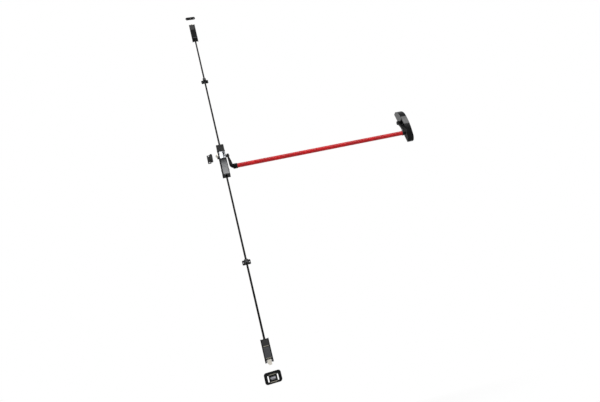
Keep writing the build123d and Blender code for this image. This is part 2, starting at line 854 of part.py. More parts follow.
def latch_pin():
    front = -rack_front + latch_pin_inset
    return bar_y(latch_pin_diameter / 2, front, -rod_offset + latch_pin_depth, latch_pin_x, latch_middle)


def latch_plate():
    """Face plate round the latch and the trigger on the left side of the case."""
    left = -half_case - latch_plate_sheet
    plate = block(left, -half_case, -case_front + latch_plate_front, -base_sheet - latch_plate_back,
                  -steel_below + latch_plate_below, steel_above - latch_plate_above)
    plate = fillet(plate.edges().filter_by(Axis.X), latch_plate_corner)
    return plate - latch_hole(slide_clearance) - trigger_hole(slide_clearance)


def trigger():
    """Deadlocking trigger under the latch, which the strike pushes in."""
    y_front = -rod_offset - trigger_depth / 2
    y_back = -rod_offset + trigger_depth / 2
    outer = -half_lock - trigger_reach
    inner = -half_inside + trigger_inside
    z_high = trigger_low + trigger_height
    stem = block(outer, inner, y_front, y_back, trigger_low, z_high)
    stem = chamfer(stem.faces().sort_by(Axis.X)[0].edges(), trigger_chamfer)
    shoulder = block(-half_inside + trigger_gap, inner, y_front - trigger_shoulder, y_back + trigger_shoulder,
                     trigger_low - trigger_shoulder, z_high + trigger_shoulder)
    return stem + shoulder


def trigger_spring():
    start = -half_inside + trigger_inside
    length = bracket_left - start
    spring = coil(trigger_spring_radius, trigger_spring_wire, length, trigger_spring_turns)
    return Pos(start, -rod_offset, trigger_low + trigger_height / 2) * Rot(0, 90, 0) * spring


def main_spring():
    low = -lower_head_drop
    length = lower_head_drop - seat_drop - seat_sheet
    return Pos(0, -rod_offset, low) * coil(main_spring_radius, main_spring_wire, length, main_spring_turns)


def bolt_inner_end(tip, away):
    """Height of a bolt's inner end; away is +1 for the upper bolt and -1 for the lower."""
    return tip - away * bolt_length


upper_tip = upper_case_high + upper_bolt_reach
lower_tip = lower_case_low - lower_bolt_reach
upper_bolt_inner = bolt_inner_end(upper_tip, 1)
lower_bolt_inner = bolt_inner_end(lower_tip, -1)


def upper_rod():
    low = head_top - rod_seat_depth
    high = upper_bolt_inner + rod_seat_depth
    rod = bar_z(rod_radius, low, high, 0, -rod_offset)
    for z in (head_top - rod_seat_depth / 2, upper_bolt_inner + rod_seat_depth / 2):
        rod -= bar_x(cross_pin_diameter / 2, -half_lock, half_lock, -rod_offset, z)
    return rod


def lower_rod():
    high = -lower_head_drop - rack_head_length + rod_seat_depth
    low = lower_bolt_inner - rod_seat_depth
    rod = bar_z(rod_radius, low, high, 0, -rod_offset)
    for z in (high - rod_seat_depth / 2, lower_bolt_inner - rod_seat_depth / 2):
        rod -= bar_x(cross_pin_diameter / 2, -half_lock, half_lock, -rod_offset, z)
    return rod


def upper_bolt():
    radius = upper_bolt_diameter / 2
    bolt = bar_z(radius, upper_bolt_inner, upper_tip, 0, -rod_offset)
    bolt = chamfer(bolt.faces().sort_by(Axis.Z)[-1].edges(), upper_bolt_chamfer)
    bolt -= bar_z(rod_radius, upper_bolt_inner - 1, upper_bolt_inner + rod_seat_depth, 0, -rod_offset)
    pin_z = upper_bolt_inner + rod_seat_depth / 2
    return bolt - bar_x(cross_pin_diameter / 2, -half_lock, half_lock, -rod_offset, pin_z)


def lower_bolt():
    half = lower_bolt_width / 2
    front = -rod_offset - lower_bolt_depth / 2
    back = -rod_offset + lower_bolt_depth / 2
    bolt = block(-half, half, front, back, lower_tip, lower_bolt_inner)
    bolt = fillet(bolt.edges().filter_by(Axis.Z), lower_bolt_corner)
    corner = [(-half - 1, lower_tip - 1), (-half + bolt_bevel, lower_tip - 1),
              (-half - 1, lower_tip + bolt_bevel)]
    bolt -= slab_y(corner, front - 1, back + 1)
    low = lower_bolt_inner - rod_seat_depth
    bolt -= bar_z(rod_radius, low, lower_bolt_inner + 1, 0, -rod_offset)
    pin_z = lower_bolt_inner - rod_seat_depth / 2
    return bolt - bar_x(cross_pin_diameter / 2, -half_lock, half_lock, -rod_offset, pin_z)


def cross_pin(left, right, z):
    return bar_x(cross_pin_diameter / 2, left, right, -rod_offset, z)


def upper_pins():
    """Cross pins of the upper rod in the rack's head and in the bolt."""
    half = upper_bolt_diameter / 2 - pin_inset
    pins = [cross_pin(rack_left, head_right, head_top - rod_seat_depth / 2)]
    pins.append(cross_pin(-half, half, upper_bolt_inner + rod_seat_depth / 2))
    return Compound(children=pins)


def lower_pins():
    """Cross pins of the lower rod in the rack's head and in the bolt."""
    half = lower_bolt_width / 2 - pin_inset
    head_pin_z = -lower_head_drop - rack_head_length + rod_seat_depth / 2
    pins = [cross_pin(rack_left, head_right, head_pin_z)]
    pins.append(cross_pin(-half, half, lower_bolt_inner - rod_seat_depth / 2))
    return Compound(children=pins)


def case_base(z_low, z_high, foot_low, foot_high, hole_pitch_z):
    """Channel of a bolt case: back and two side walls that reach past the covers as feet."""
    half = case_width / 2
    inner = half - case_wall
    wall_depth = case_depth - panel_proud
    back = block(-half, half, -case_wall, 0, z_low, z_high)
    walls = [block(side * inner, side * half, -wall_depth, 0, z_low - foot_low, z_high + foot_high)
             for side in (-1, 1)]
    channel = back + walls
    front_edges = channel.edges().filter_by(Axis.Z).group_by(Axis.Y)[0]
    channel = fillet(front_edges, case_edge)
    middle = (z_low + z_high) / 2
    low, high = middle - hole_pitch_z / 2, middle + hole_pitch_z / 2
    return channel - four_holes(case_hole_radius, case_hole_pitch_x, low, high, -case_wall - 1, 1)


def case_lid(z_low, z_high, front):
    """Lid between the side walls of a bolt case, with two skirts that grip them."""
    inner = case_width / 2 - case_wall
    face = block(-inner, inner, -front, -front + panel_sheet, z_low, z_high)
    face = fillet(face.faces().sort_by(Axis.Y)[0].edges(), panel_edge)
    skirts = [block(side * (inner - panel_sheet), side * inner, -front + panel_sheet, -front + skirt_depth,
                    z_low, z_high) for side in (-1, 1)]
    return face + skirts


def case_split(z_low, z_high):
    """Height of the seam between a case's cap and its main panel."""
    return z_high - cap_share * (z_high - z_low)


def case_plug(z_low, z_high):
    """Block that fills a case's channel under the lids."""
    inner = case_width / 2 - case_wall - panel_sheet - plug_clearance
    front = -case_depth + cap_step + panel_sheet + plug_clearance
    return block(-inner, inner, front, -case_wall, z_low, z_high)


def upper_case_base():
    return case_base(upper_case_low, upper_case_high, foot_short, foot_short, upper_hole_pitch_z)


def lower_case_base():
    return case_base(lower_case_low, lower_case_high, foot_long, foot_short, lower_hole_pitch_z)


def upper_case_panel():
    return case_lid(upper_case_low, case_split(upper_case_low, upper_case_high), case_depth)


def upper_case_cap():
    return case_lid(case_split(upper_case_low, upper_case_high), upper_case_high, case_depth - cap_step)


def lower_case_panel():
    return case_lid(lower_case_low, case_split(lower_case_low, lower_case_high), case_depth)


def lower_case_cap():
    return case_lid(case_split(lower_case_low, lower_case_high), lower_case_high, case_depth - cap_step)


def upper_bolt_guide():
    plug = case_plug(upper_case_high - guide_length, upper_case_high)
    radius = upper_bolt_diameter / 2 + running_clearance
    return plug - bar_z(radius, upper_case_high - guide_length - 1, upper_case_high + 1, 0, -rod_offset)


def lower_bolt_guide():
    plug = case_plug(lower_case_low, lower_case_low + guide_length)
    half = lower_bolt_width / 2 + slide_clearance
    front = -rod_offset - lower_bolt_depth / 2 - slide_clearance
    back = -rod_offset + lower_bolt_depth / 2 + slide_clearance
    return plug - block(-half, half, front, back, lower_case_low - 1, lower_case_low + guide_length + 1)


def rod_bushes():
    """Blocks that guide each rod where it enters its bolt case."""
    bushes = []
    spans = ((upper_case_low, upper_case_low + bush_length), (lower_case_high - bush_length, lower_case_high))
    for low, high in spans:
        hole = bar_z(rod_radius + running_clearance, low - 1, high + 1, 0, -rod_offset)
        bushes.append(case_plug(low, high) - hole)
    return Compound(children=bushes)


def upper_bolt_spring():
    low = upper_case_low + bush_length
    length = upper_bolt_inner - low
    return Pos(0, -rod_offset, low) * coil(bolt_spring_radius, bolt_spring_wire, length, upper_spring_turns)


def lower_bolt_spring():
    high = lower_case_high - bush_length
    length = high - lower_bolt_inner
    spring = coil(bolt_spring_radius, bolt_spring_wire, length, lower_spring_turns)
    return Pos(0, -rod_offset, lower_bolt_inner) * spring


def rod_guide(height):
    """Clip on the door with a saddle round the rod and two screw ears."""
    half = guide_width / 2
    liner_radius = rod_radius + running_clearance + liner_wall
    saddle_front = -(rod_offset + liner_radius + guide_saddle_wall)
    low, high = height - guide_height / 2, height + guide_height / 2
    foot = block(-half, half, -guide_foot, 0, low, high)
    foot = fillet(foot.edges().filter_by(Axis.Y), guide_corner)
    saddle_half = guide_saddle_width / 2
    low, high = height - guide_saddle_height / 2, height + guide_saddle_height / 2
    saddle = block(-saddle_half, saddle_half, saddle_front, 0, low, high)
    saddle = fillet(saddle.edges().filter_by(Axis.Z).group_by(Axis.Y)[0], guide_saddle_round)
    clip = foot + saddle
    clip -= bar_z(liner_radius, low - 1, high + 1, 0, -rod_offset)
    ears = [bar_y(guide_hole_radius, -guide_foot - 1, 1, side * guide_hole_pitch / 2, height)
            for side in (-1, 1)]
    return clip - ears


def upper_guide():
    return rod_guide(upper_guide_height)


def lower_guide():
    return rod_guide(lower_guide_height)


def guide_liners():
    """Nylon tubes in the two rod guides."""
    liners = []
    inner = rod_radius + running_clearance
    for height in (upper_guide_height, lower_guide_height):
        low, high = height - guide_saddle_height / 2, height + guide_saddle_height / 2
        tube = bar_z(inner + liner_wall, low, high, 0, -rod_offset)
        liners.append(tube - bar_z(inner, low - 1, high + 1, 0, -rod_offset))
    return Compound(children=liners)


def end_profile(inset):
    """Side profile of the far cover in (y, z), drawn in from its outside by an inset."""
    top, bottom = support_top - inset, support_bottom + inset
    shoulder = (-support_top_depth + inset_at_shoulder * inset, top)
    nose = (-support_nose_depth + inset, support_nose_height)
    toe = (-support_toe_depth + inset, support_toe_height + inset_at_heel * inset)
    heel = (-support_heel_depth + inset_at_heel * inset, bottom)
    above = ((shoulder[0] + nose[0]) / 2 - support_brow, (shoulder[1] + nose[1]) / 2 + support_brow_lift)
    below = ((nose[0] + toe[0]) / 2 - support_belly, (nose[1] + toe[1]) / 2)
    edges = [Line((0, top), shoulder), ThreePointArc(shoulder, above, nose), ThreePointArc(nose, below, toe)]
    edges += [Line(toe, heel), Line(heel, (0, bottom)), Line((0, bottom), (0, top))]
    face = make_face(Wire([edge.edge() for edge in edges]))
    chin = [vertex for vertex in face.vertices() if vertex.X < -1 and vertex.Y < support_toe_height + inset]
    return fillet(chin, support_chin_radius - inset)


def end_cover():
    """Arched cover of the far support, open at the back, with a round way in for the shaft."""
    outer = extrude(Plane.YZ.offset(support_left) * end_profile(0), support_width)
    rims = [edge for edge in outer.edges() if edge.center().Y < -1 and abs(edge.tangent_at(0.5).X) < 0.5]
    outer = fillet(rims, support_edge)
    inner = extrude(Plane.YZ.offset(support_left + support_wall) * end_profile(support_wall),
                    support_width - 2 * support_wall)
    mouth = block(support_left + support_wall, support_right - support_wall, -1, 1,
                  support_bottom + support_wall, support_top - support_wall)
    cover = outer - inner - mouth
    cover -= bar_x(shaft_body_radius + loose_clearance, support_left - 1, support_left + support_wall + 1,
                   -rod_offset, 0)
    return cover - end_screw_holes()


def end_screw_holes():
    """Way of the two cover screws through the cover's ends and the plate's tabs."""
    x = (support_left + support_right) / 2
    y = -support_sheet - tab_depth / 2
    top = bar_z(end_screw_radius, support_top - support_wall - tab_sheet - 1, support_top + 1, x, y)
    bottom = bar_z(end_screw_radius, support_bottom - 1, support_bottom + support_wall + tab_sheet + 1, x, y)
    return [top, bottom]


def end_base_plate():
    """Screw plate of the far support, with a tab bent out at each end for the cover's screws."""
    left = support_left + support_wall + end_plate_gap
    right = support_right - support_wall - end_plate_gap
    low = support_bottom + support_wall
    high = support_top - support_wall
    x = (left + right) / 2
    plate = block(left, right, -support_sheet, 0, low, high)
    tabs = [block(x - tab_length / 2, x + tab_length / 2, -support_sheet - tab_depth, -support_sheet, z0, z1)
            for z0, z1 in ((low, low + tab_sheet), (high - tab_sheet, high))]
    shape = plate + tabs - end_screw_holes()
    spots = (support_hole_top, support_hole_top - support_hole_pitch)
    return shape - [bar_y(support_hole_radius, -support_sheet - 1, 1, x, z) for z in spots]


def end_cover_screws():
    x = (support_left + support_right) / 2
    y = -support_sheet - tab_depth / 2
    screws = []
    for face, outwards in ((support_top, 1), (support_bottom, -1)):
        top = face + outwards * end_screw_head_height
        shank = bar_z(end_screw_radius, face - outwards * (support_wall + tab_sheet), face, x, y)
        head = bar_z(end_screw_head, face, top, x, y)
        slot = block(x - end_screw_head, x + end_screw_head, y - screw_slot_width / 2, y + screw_slot_width / 2,
                     top - outwards * screw_slot_depth, top + outwards)
        screws.append(shank + head - slot)
    return Compound(children=screws)


def end_block():
    """Bearing block on the far plate, with a wide foot."""
    left = support_block_left
    right = left + support_block_width
    half = support_block_height / 2
    front = -rod_offset - half
    body = block(left, right, -rod_offset, -support_sheet, -half, half)
    body += bar_x(half, left, right, -rod_offset, 0)
    foot = block(left, right, -support_sheet - block_foot_sheet, -support_sheet,
                 -half - block_foot_reach, half + block_foot_reach)
    bore = bar_x(shaft_body_radius + running_clearance + bush_wall, left - 1, right + 1, -rod_offset, 0)
    ribs = block(left + block_rib_inset, right - block_rib_inset, front + block_rib_front, -support_sheet,
                 half - 1, half + block_rib_reach)
    return body + foot + ribs + mirror(ribs, about=Plane.XY) - bore


def end_bush():
    left = support_block_left
    right = left + support_block_width
    inner = shaft_body_radius + running_clearance
    sleeve = bar_x(inner + bush_wall, left, right + end_bush_proud, -rod_offset, 0)
    return sleeve - bar_x(inner, left - 1, right + 2, -rod_offset, 0)


def top_strike():
    """Oval plate for the head of the door frame, with the upper bolt's hole."""
    half = strike_depth / 2
    reach = strike_length / 2 - half
    top = strike_height + strike_sheet
    plate = block(-reach, reach, -rod_offset - half, -rod_offset + half, strike_height, top)
    plate += [bar_z(half, strike_height, top, side * reach, -rod_offset) for side in (-1, 1)]
    bolt_hole = upper_bolt_diameter / 2 + loose_clearance
    plate -= bar_z(bolt_hole, strike_height - 1, top + 1, 0, -rod_offset)
    plate = chamfer(plate.faces().sort_by(Axis.Z)[0].outer_wire().edges(), strike_chamfer)
    holes = [bar_z(strike_hole_radius, strike_height - 1, top + 1, side * strike_hole_pitch / 2, -rod_offset)
             for side in (-1, 1)]
    return plate - holes


def side_strike():
    """Keep for the latch: a flange with two screw holes and a body that the latch passes into."""
    low = keep_foot_middle - keep_foot_height / 2
    high = keep_foot_middle + keep_foot_height / 2
    foot = block(keep_left, keep_left + keep_foot_width, -keep_foot, 0, low, high)
    foot = fillet(foot.edges().filter_by(Axis.Y), keep_foot_corner)
    body_left = keep_right - keep_body_width
    window_low, window_high = latch_low - keep_room, latch_top + keep_room
    body = block(body_left, keep_right, -keep_depth, 0, trigger_low - keep_below, window_high + keep_wall)
    body = fillet(body.edges().filter_by(Axis.Y), keep_corner)
    body = fillet(body.faces().sort_by(Axis.Y)[0].edges(), keep_edge)
    window = block(body_left - 1, keep_right + 1, -rod_offset - latch_depth / 2 - keep_room,
                   -rod_offset + latch_depth / 2 + keep_room, window_low, window_high)
    x = keep_left + keep_hole_inset
    holes = [bar_y(keep_hole_radius, -keep_foot - 1, 1, x, keep_foot_middle + side * keep_hole_pitch / 2)
             for side in (-1, 1)]
    return foot + body - window - holes


def floor_strike():
    """Floor keep, lying with its face to the front: recessed frame, bolt pocket and two screw slots."""
    half_x, half_z = floor_width / 2, floor_length / 2
    frame = block(-half_x, half_x, -floor_thickness, 0, floor_height - half_z, floor_height + half_z)
    frame = fillet(frame.edges().filter_by(Axis.Y), floor_corner)
    frame = fillet(frame.faces().sort_by(Axis.Y)[0].edges(), floor_edge)
    half_x, half_z = floor_recess_width / 2, floor_recess_length / 2
    recess_floor = -floor_thickness + floor_recess_depth
    low, high = recess_height - half_z, recess_height + half_z
    recess = block(-half_x, half_x, -floor_thickness - 1, recess_floor, low, high)
    recess = fillet(recess.edges().filter_by(Axis.Y), floor_recess_corner)
    reach_x, reach_z = half_x + loose_clearance, half_z + loose_clearance
    half_x, half_z = floor_pocket_width / 2, floor_pocket_length / 2
    low, high = recess_height - half_z, recess_height + half_z
    pocket = block(-half_x, half_x, -floor_thickness - 1, -floor_skin, low, high)
    shape = frame - recess - pocket
    mouth = [edge for edge in shape.edges().filter_by(Plane.XZ)
             if edge.center().Y < recess_floor - running_clearance
             and abs(edge.center().X) < reach_x and abs(edge.center().Z - recess_height) < reach_z]
    shape = chamfer(mouth, floor_recess_chamfer)
    slots = []
    for side in (-1, 1):
        x = side * slot_pitch / 2
        reach = slot_length / 2 - slot_width / 2
        slots.append(block(x - slot_width / 2, x + slot_width / 2, -floor_thickness - 1, 1,
                           recess_height - reach, recess_height + reach))
        for z in (recess_height - reach, recess_height + reach):
            slots.append(bar_y(slot_width / 2, -floor_thickness - 1, 1, x, z))
    return shape - slots


def floor_strike_insert():
    """Steel wear piece at the bottom of the pocket, a bridge with two raised ends."""
    half_x, half_z = insert_width / 2, insert_length / 2
    low, high = recess_height - half_z, recess_height + half_z
    room = block(-half_x, half_x, -floor_thickness, -floor_skin, low, high)
    plate = block(-half_x, half_x, -floor_skin - insert_base, -floor_skin, low, high)
    axis_y = -floor_skin - insert_height + half_z
    inner_x = half_x - insert_end_length
    ends = [bar_x(half_z - insert_end_drop, side * half_x, side * inner_x, axis_y, recess_height) & room
            for side in (-1, 1)]
    saddle = bar_x(half_z - insert_saddle_drop, -inner_x, inner_x, axis_y, recess_height) & room
    return plate + ends + saddle


PIECES = (
    lock_base_plate, lock_case, top_cover, lower_cover, bottom_cap, cover_screws, shaft_bracket, shaft_bush,
    pinion_axle, pinion_spacers, spring_seat, latch_plate, upper_guide, lower_guide, guide_liners,
    upper_case_base, upper_case_panel, upper_case_cap, upper_bolt_guide, rod_bushes,
    lower_case_base, lower_case_panel, lower_case_cap, lower_bolt_guide,
    end_base_plate, end_block, end_bush, end_cover, end_cover_screws,
    top_strike, side_strike, floor_strike, floor_strike_insert,
    main_spring, upper_bolt_spring, lower_bolt_spring, trigger_spring,
    drive_shaft, sector_gear, retaining_rings, left_arm, right_arm, bar_tube, end_shaft, arm_screws,
    arm_grub_screws, pinion, upper_rack, upper_rod, upper_bolt, upper_pins,
    lower_rack, lower_rod, lower_bolt, lower_pins, latch, latch_pin, trigger,
)

for piece in PIECES:
    export_step(piece(), f"parts/{piece.__name__}.step")
print(f"bolt travel {bolt_travel:.3f} mm, latch travel {latch_travel:.3f} mm, {len(PIECES)} nodes")
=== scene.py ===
"""Looks of a surface-mounted multipoint panic lock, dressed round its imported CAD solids.

Everything is in metres and in the CAD's frame: X runs along the push bar, Y goes into the door,
Z is up along the rods, and the origin is on the door's face behind the bar's pivot.
"""

import json
import logging
from dataclasses import dataclass
from enum import Enum
from math import pi, radians
from typing import Any, Dict, List, Mapping, Optional, Tuple, Union

import bpy
import numpy as np
from mathutils import Matrix, Vector

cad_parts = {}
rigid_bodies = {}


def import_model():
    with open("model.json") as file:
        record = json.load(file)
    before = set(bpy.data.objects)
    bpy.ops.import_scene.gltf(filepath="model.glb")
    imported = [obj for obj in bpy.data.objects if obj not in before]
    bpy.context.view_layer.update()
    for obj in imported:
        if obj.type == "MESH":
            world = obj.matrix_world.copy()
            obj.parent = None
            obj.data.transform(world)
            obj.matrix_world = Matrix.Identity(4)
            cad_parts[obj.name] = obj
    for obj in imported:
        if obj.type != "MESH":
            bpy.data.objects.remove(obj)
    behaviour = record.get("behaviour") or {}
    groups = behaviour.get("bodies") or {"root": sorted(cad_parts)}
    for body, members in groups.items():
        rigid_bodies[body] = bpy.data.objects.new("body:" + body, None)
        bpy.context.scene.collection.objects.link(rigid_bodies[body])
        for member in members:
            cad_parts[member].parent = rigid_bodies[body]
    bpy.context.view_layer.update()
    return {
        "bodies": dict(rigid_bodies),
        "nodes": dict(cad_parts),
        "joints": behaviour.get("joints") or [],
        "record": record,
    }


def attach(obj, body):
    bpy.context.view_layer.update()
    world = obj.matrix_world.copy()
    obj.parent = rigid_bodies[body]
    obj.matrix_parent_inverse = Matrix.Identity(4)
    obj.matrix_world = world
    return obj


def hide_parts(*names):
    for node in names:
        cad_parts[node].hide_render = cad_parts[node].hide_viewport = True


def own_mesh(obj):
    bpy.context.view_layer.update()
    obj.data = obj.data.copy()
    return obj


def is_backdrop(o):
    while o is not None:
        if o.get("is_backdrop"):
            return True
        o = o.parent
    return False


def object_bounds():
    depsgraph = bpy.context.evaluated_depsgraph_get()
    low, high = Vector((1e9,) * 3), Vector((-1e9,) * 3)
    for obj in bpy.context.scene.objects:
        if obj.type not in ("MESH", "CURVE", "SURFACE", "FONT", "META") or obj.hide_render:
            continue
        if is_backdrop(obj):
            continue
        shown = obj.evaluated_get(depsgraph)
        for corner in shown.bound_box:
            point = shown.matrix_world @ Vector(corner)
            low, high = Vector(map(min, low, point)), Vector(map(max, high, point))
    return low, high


LOG = logging.getLogger("panic_lock")
MM = 0.001
Number = Union[int, float]
Colour = Tuple[float, float, float]
Pair = Tuple[float, float]
Piece = bpy.types.Object
Triple = Tuple[float, float, float]
# Points of a closed path and its outward directions, each steps by two.
Path = Tuple[np.ndarray, np.ndarray]

# Directions along the bar, out of the door, into the door and up the rods.
BARWARD: Triple = (1.0, 0.0, 0.0)
OUTWARD: Triple = (0.0, -1.0, 0.0)
INWARD: Triple = (0.0, 1.0, 0.0)
UPWARD: Triple = (0.0, 0.0, 1.0)

# Distance of the rods, the latch and the pivot from the door.
ROD_OUT = 16 * MM
# Travel of each rod over the bar's whole press.
STROKE = 10.761 * MM
# Radius by which every finish rounds the edges of its piece.
ROUNDING = 0.4 * MM
# Half the width over which a field of paint ends.
BORDER = 0.4 * MM


def shade(red: Number, green: Number, blue: Number) -> Colour:
    """Linear colour of a screen colour given as three numbers from 0 to 255.

    Args:
        red: Screen red.
        green: Screen green.
        blue: Screen blue.

    Returns:
        The three linear values: each screen value over 255, raised by the screen's own curve.
    """
    screen = np.array([red, green, blue], float) / 255.0
    linear = np.where(screen <= 0.04045, screen / 12.92, ((screen + 0.055) / 1.055) ** 2.4)
    return float(linear[0]), float(linear[1]), float(linear[2])


def lighter(colour: Colour, gain: float, lift: float = 0.0) -> Colour:
    """A linear colour times a gain plus a lift, each part at most 1."""
    red, green, blue = (min(1.0, part * gain + lift) for part in colour)
    return red, green, blue


# Shader maths


class Link:
    """One output of a node tree; Python's operators on it add Math nodes."""

    def __init__(self, tree: "ShaderTree", socket: bpy.types.NodeSocket) -> None:
        """Wraps a socket of a tree."""
        self.tree = tree
        self.socket = socket

    def _with(self, operation: str, first: "Term", second: "Term") -> "Link":
        """A Math node on two terms."""
        return self.tree.add("ShaderNodeMath", {"operation": operation}, {0: first, 1: second})

    def __add__(self, other: "Term") -> "Link":
        """Sum."""
        return self._with("ADD", self, other)

    def __radd__(self, other: "Term") -> "Link":
        """Sum with a number before it."""
        return self._with("ADD", other, self)

    def __sub__(self, other: "Term") -> "Link":
        """Difference."""
        return self._with("SUBTRACT", self, other)

    def __rsub__(self, other: "Term") -> "Link":
        """Difference from a number, so that 1 - mask works."""
        return self._with("SUBTRACT", other, self)

    def __mul__(self, other: "Term") -> "Link":
        """Product."""
        return self._with("MULTIPLY", self, other)

    def __pow__(self, other: "Term") -> "Link":
        """Power."""
        return self._with("POWER", self, other)

    def smooth(self, low: float, high: float) -> "Link":
        """Smooth step of this value.

        Args:
            low: Value at which the step is 0.
            high: Value at which the step is 1.

        Returns:
            The step, which stays between 0 and 1.
        """
        settings = {"interpolation_type": "SMOOTHSTEP"}
        values = {"Value": self, "From Min": low, "From Max": high}
        return self.tree.add("ShaderNodeMapRange", settings, values)

    def above(self, level: float, soft: float = BORDER) -> "Link":
        """1 where this value is above a level, else 0, blurred by soft on both sides."""
        return self.smooth(level - soft, level + soft)


Term = Union[Link, int, float]


class ShaderTree:
    """Node tree of a material or world, with the few building blocks that the finishes share."""

    def __init__(self, owner: Union[bpy.types.Material, bpy.types.World], shader: str) -> None:
        """Opens the tree of its owner, whose main shader is of the named type."""
        owner.use_nodes = True
        self.owner = owner
        self.nodes = owner.node_tree.nodes
        self.links = owner.node_tree.links
        self.shader = self.node(shader)

    def node(self, kind: str) -> bpy.types.Node:
        """The first node of a type."""
        return next(node for node in self.nodes if node.type == kind)

    def add(self, kind: str, settings: Mapping[str, Any], inputs: Mapping[Any, Any],
            output: Union[str, int] = 0) -> Link:
        """Adds a node.

        Args:
            kind: Blender's name of the node type.
            settings: Properties of the node, set before its sockets.
            inputs: Values or links of its sockets, by name or place.
            output: Name or place of the output that is wanted.

        Returns:
            That output.
        """
        node = self.nodes.new(kind)
        for key, value in settings.items():
            setattr(node, key, value)
        for key, value in inputs.items():
            if isinstance(value, Link):
                self.links.new(value.socket, node.inputs[key])
            else:
                node.inputs[key].default_value = value
        return Link(self, node.outputs[output])

    def feed(self, **sockets: Any) -> None:
        """Sets or links sockets of the shader; an underscore in a name stands for a space."""
        for key, value in sockets.items():
            socket = self.shader.inputs[key.replace("_", " ")]
            if isinstance(value, Link):
                self.links.new(value.socket, socket)
            elif isinstance(value, tuple):
                socket.default_value = (*value, 1.0)
            else:
                socket.default_value = value

    def place(self, stretch: Triple = (1.0, 1.0, 1.0)) -> Link:
        """Object coordinates, each multiplied by its number in stretch."""
        spot = self.add("ShaderNodeTexCoord", {}, {}, "Object")
        return self.add("ShaderNodeMapping", {}, {"Vector": spot, "Scale": stretch})

    def part(self, spot: Link, axis: str) -> Link:
        """X, Y or Z of a vector."""
        return self.add("ShaderNodeSeparateXYZ", {}, {0: spot}, axis)

    def facing(self, axis: str) -> Link:
        """1 where the surface faces against X, Y or Z, else 0."""
        normal = self.add("ShaderNodeNewGeometry", {}, {}, "Normal")
        return self.part(normal, axis).smooth(-0.70, -0.90)

    def noise(self, spot: Link, scale: float, detail: float = 3.0, warp: float = 0.0) -> Link:
        """Cloud noise from 0 to 1 at a place, with a scale in clouds per metre."""
        values = {"Vector": spot, "Scale": scale, "Detail": detail, "Distortion": warp}
        return self.add("ShaderNodeTexNoise", {}, values)

    def mix(self, factor: Term, first: Any, second: Any) -> Link:
        """Colour between two colours."""
        first = (*first, 1.0) if isinstance(first, tuple) else first
        second = (*second, 1.0) if isinstance(second, tuple) else second
        return self.add("ShaderNodeMix", {"data_type": "RGBA"}, {0: factor, 6: first, 7: second}, 2)

    def rounded(self, radius: float = ROUNDING) -> Link:
        """Normal of the surface as if its edges were rounded by a radius."""
        return self.add("ShaderNodeBevel", {"samples": 4}, {"Radius": radius})

    def edges(self, radius: float) -> Link:
        """Mask of the edges: how far the rounded normal turns from the plain one."""
        flat = self.add("ShaderNodeNewGeometry", {}, {}, "Normal")
        values = {0: self.rounded(radius), 1: flat}
        same = self.add("ShaderNodeVectorMath", {"operation": "DOT_PRODUCT"}, values, 1)
        return (1 - same).smooth(0.01, 0.16)

    def bump(self, height: Link, depth: float) -> Link:
        """Normal of the rounded surface raised by height times depth in metres."""
        values = {"Height": height, "Distance": depth, "Strength": 1.0, "Normal": self.rounded()}
        return self.add("ShaderNodeBump", {}, values)

    def seen(self) -> Link:
        """1 for a ray from the camera or one mirrored or bent on its way, else 0."""
        camera, glossy, bent = (self.add("ShaderNodeLightPath", {}, {}, f"Is {kind} Ray")
                                for kind in ("Camera", "Glossy", "Transmission"))
        return (camera + glossy + bent).smooth(0.0, 1.0)


def new_tree(name: str) -> ShaderTree:
    """Tree of a new material of that name."""
    return ShaderTree(bpy.data.materials.new(name), "BSDF_PRINCIPLED")


# Finishes

ZINC, OILED_ZINC = shade(214, 216, 219), shade(176, 179, 184)
BLACK, DUSTY_BLACK, LACQUER = shade(10, 11, 12), shade(17, 18, 20), shade(12, 13, 14)
STEEL, SOOT, OIL = shade(84, 87, 91), shade(46, 48, 51), shade(78, 79, 81)


class Grain(Enum):
    """Way in which a surface was brushed, rolled, turned or scuffed: its stretch along X, Y and Z."""

    ALONG_BAR = (6.0, 900.0, 900.0)
    ALONG_ROD = (900.0, 900.0, 6.0)
    TURNED_ON_BAR = (1400.0, 5.0, 5.0)
    TUMBLED = (160.0, 160.0, 160.0)
    SCUFFED_ON_BAR = (55.0, 700.0, 1100.0)
    SCUFFED_ON_ROD = (1100.0, 700.0, 70.0)
    SCRATCHED = (45.0, 1900.0, 420.0)
    MOULD_FLOW = (40.0, 40.0, 170.0)


@dataclass(frozen=True)
class Field:
    """Part of a flat front, in metres, that has a finish of its own.

    Attributes:
        left: Its left side.
        right: Its right side.
        low: Its lower side.
        high: Its upper side.
        painted_shade_fade: Height over which it fades out under its upper side, a painted shade that
            darkens it towards its top.
    """

    left: float
    right: float
    low: float
    high: float
    painted_shade_fade: float = 0.0

    def mask(self, tree: ShaderTree) -> Link:
        """1 inside the field where the surface faces the front, else 0."""
        spot = tree.place()
        across, up = tree.part(spot, "X"), tree.part(spot, "Z")
        wide = across.above(self.left) * across.smooth(self.right + BORDER, self.right - BORDER)
        # The fade under the upper side makes the field darker towards its top: painted shade.
        tall = up.above(self.low) * up.smooth(self.high + BORDER, self.high - BORDER - self.painted_shade_fade)
        return wide * tall * tree.facing("Y")


@dataclass(frozen=True)
class ArchField(Field):
    """Glossier part of the arched cover: a field of its front, and its left side above a height; its
    slightly lighter colour there is a painted highlight.

    Attributes:
        side_low: That height in metres.
        front: Share of the gloss that the front has.
    """

    side_low: float = 0.0
    front: float = 0.4

    def mask(self, tree: ShaderTree) -> Link:
        """1 on that part of the left side, the front's share inside the field, else 0."""
        # The upper left side gets the lighter colour and the gloss, the lower part stays plain black:
        # painted highlight with real gloss.
        side = tree.part(tree.place(), "Z").above(self.side_low) * tree.facing("X")
        return super().mask(tree) * self.front + side


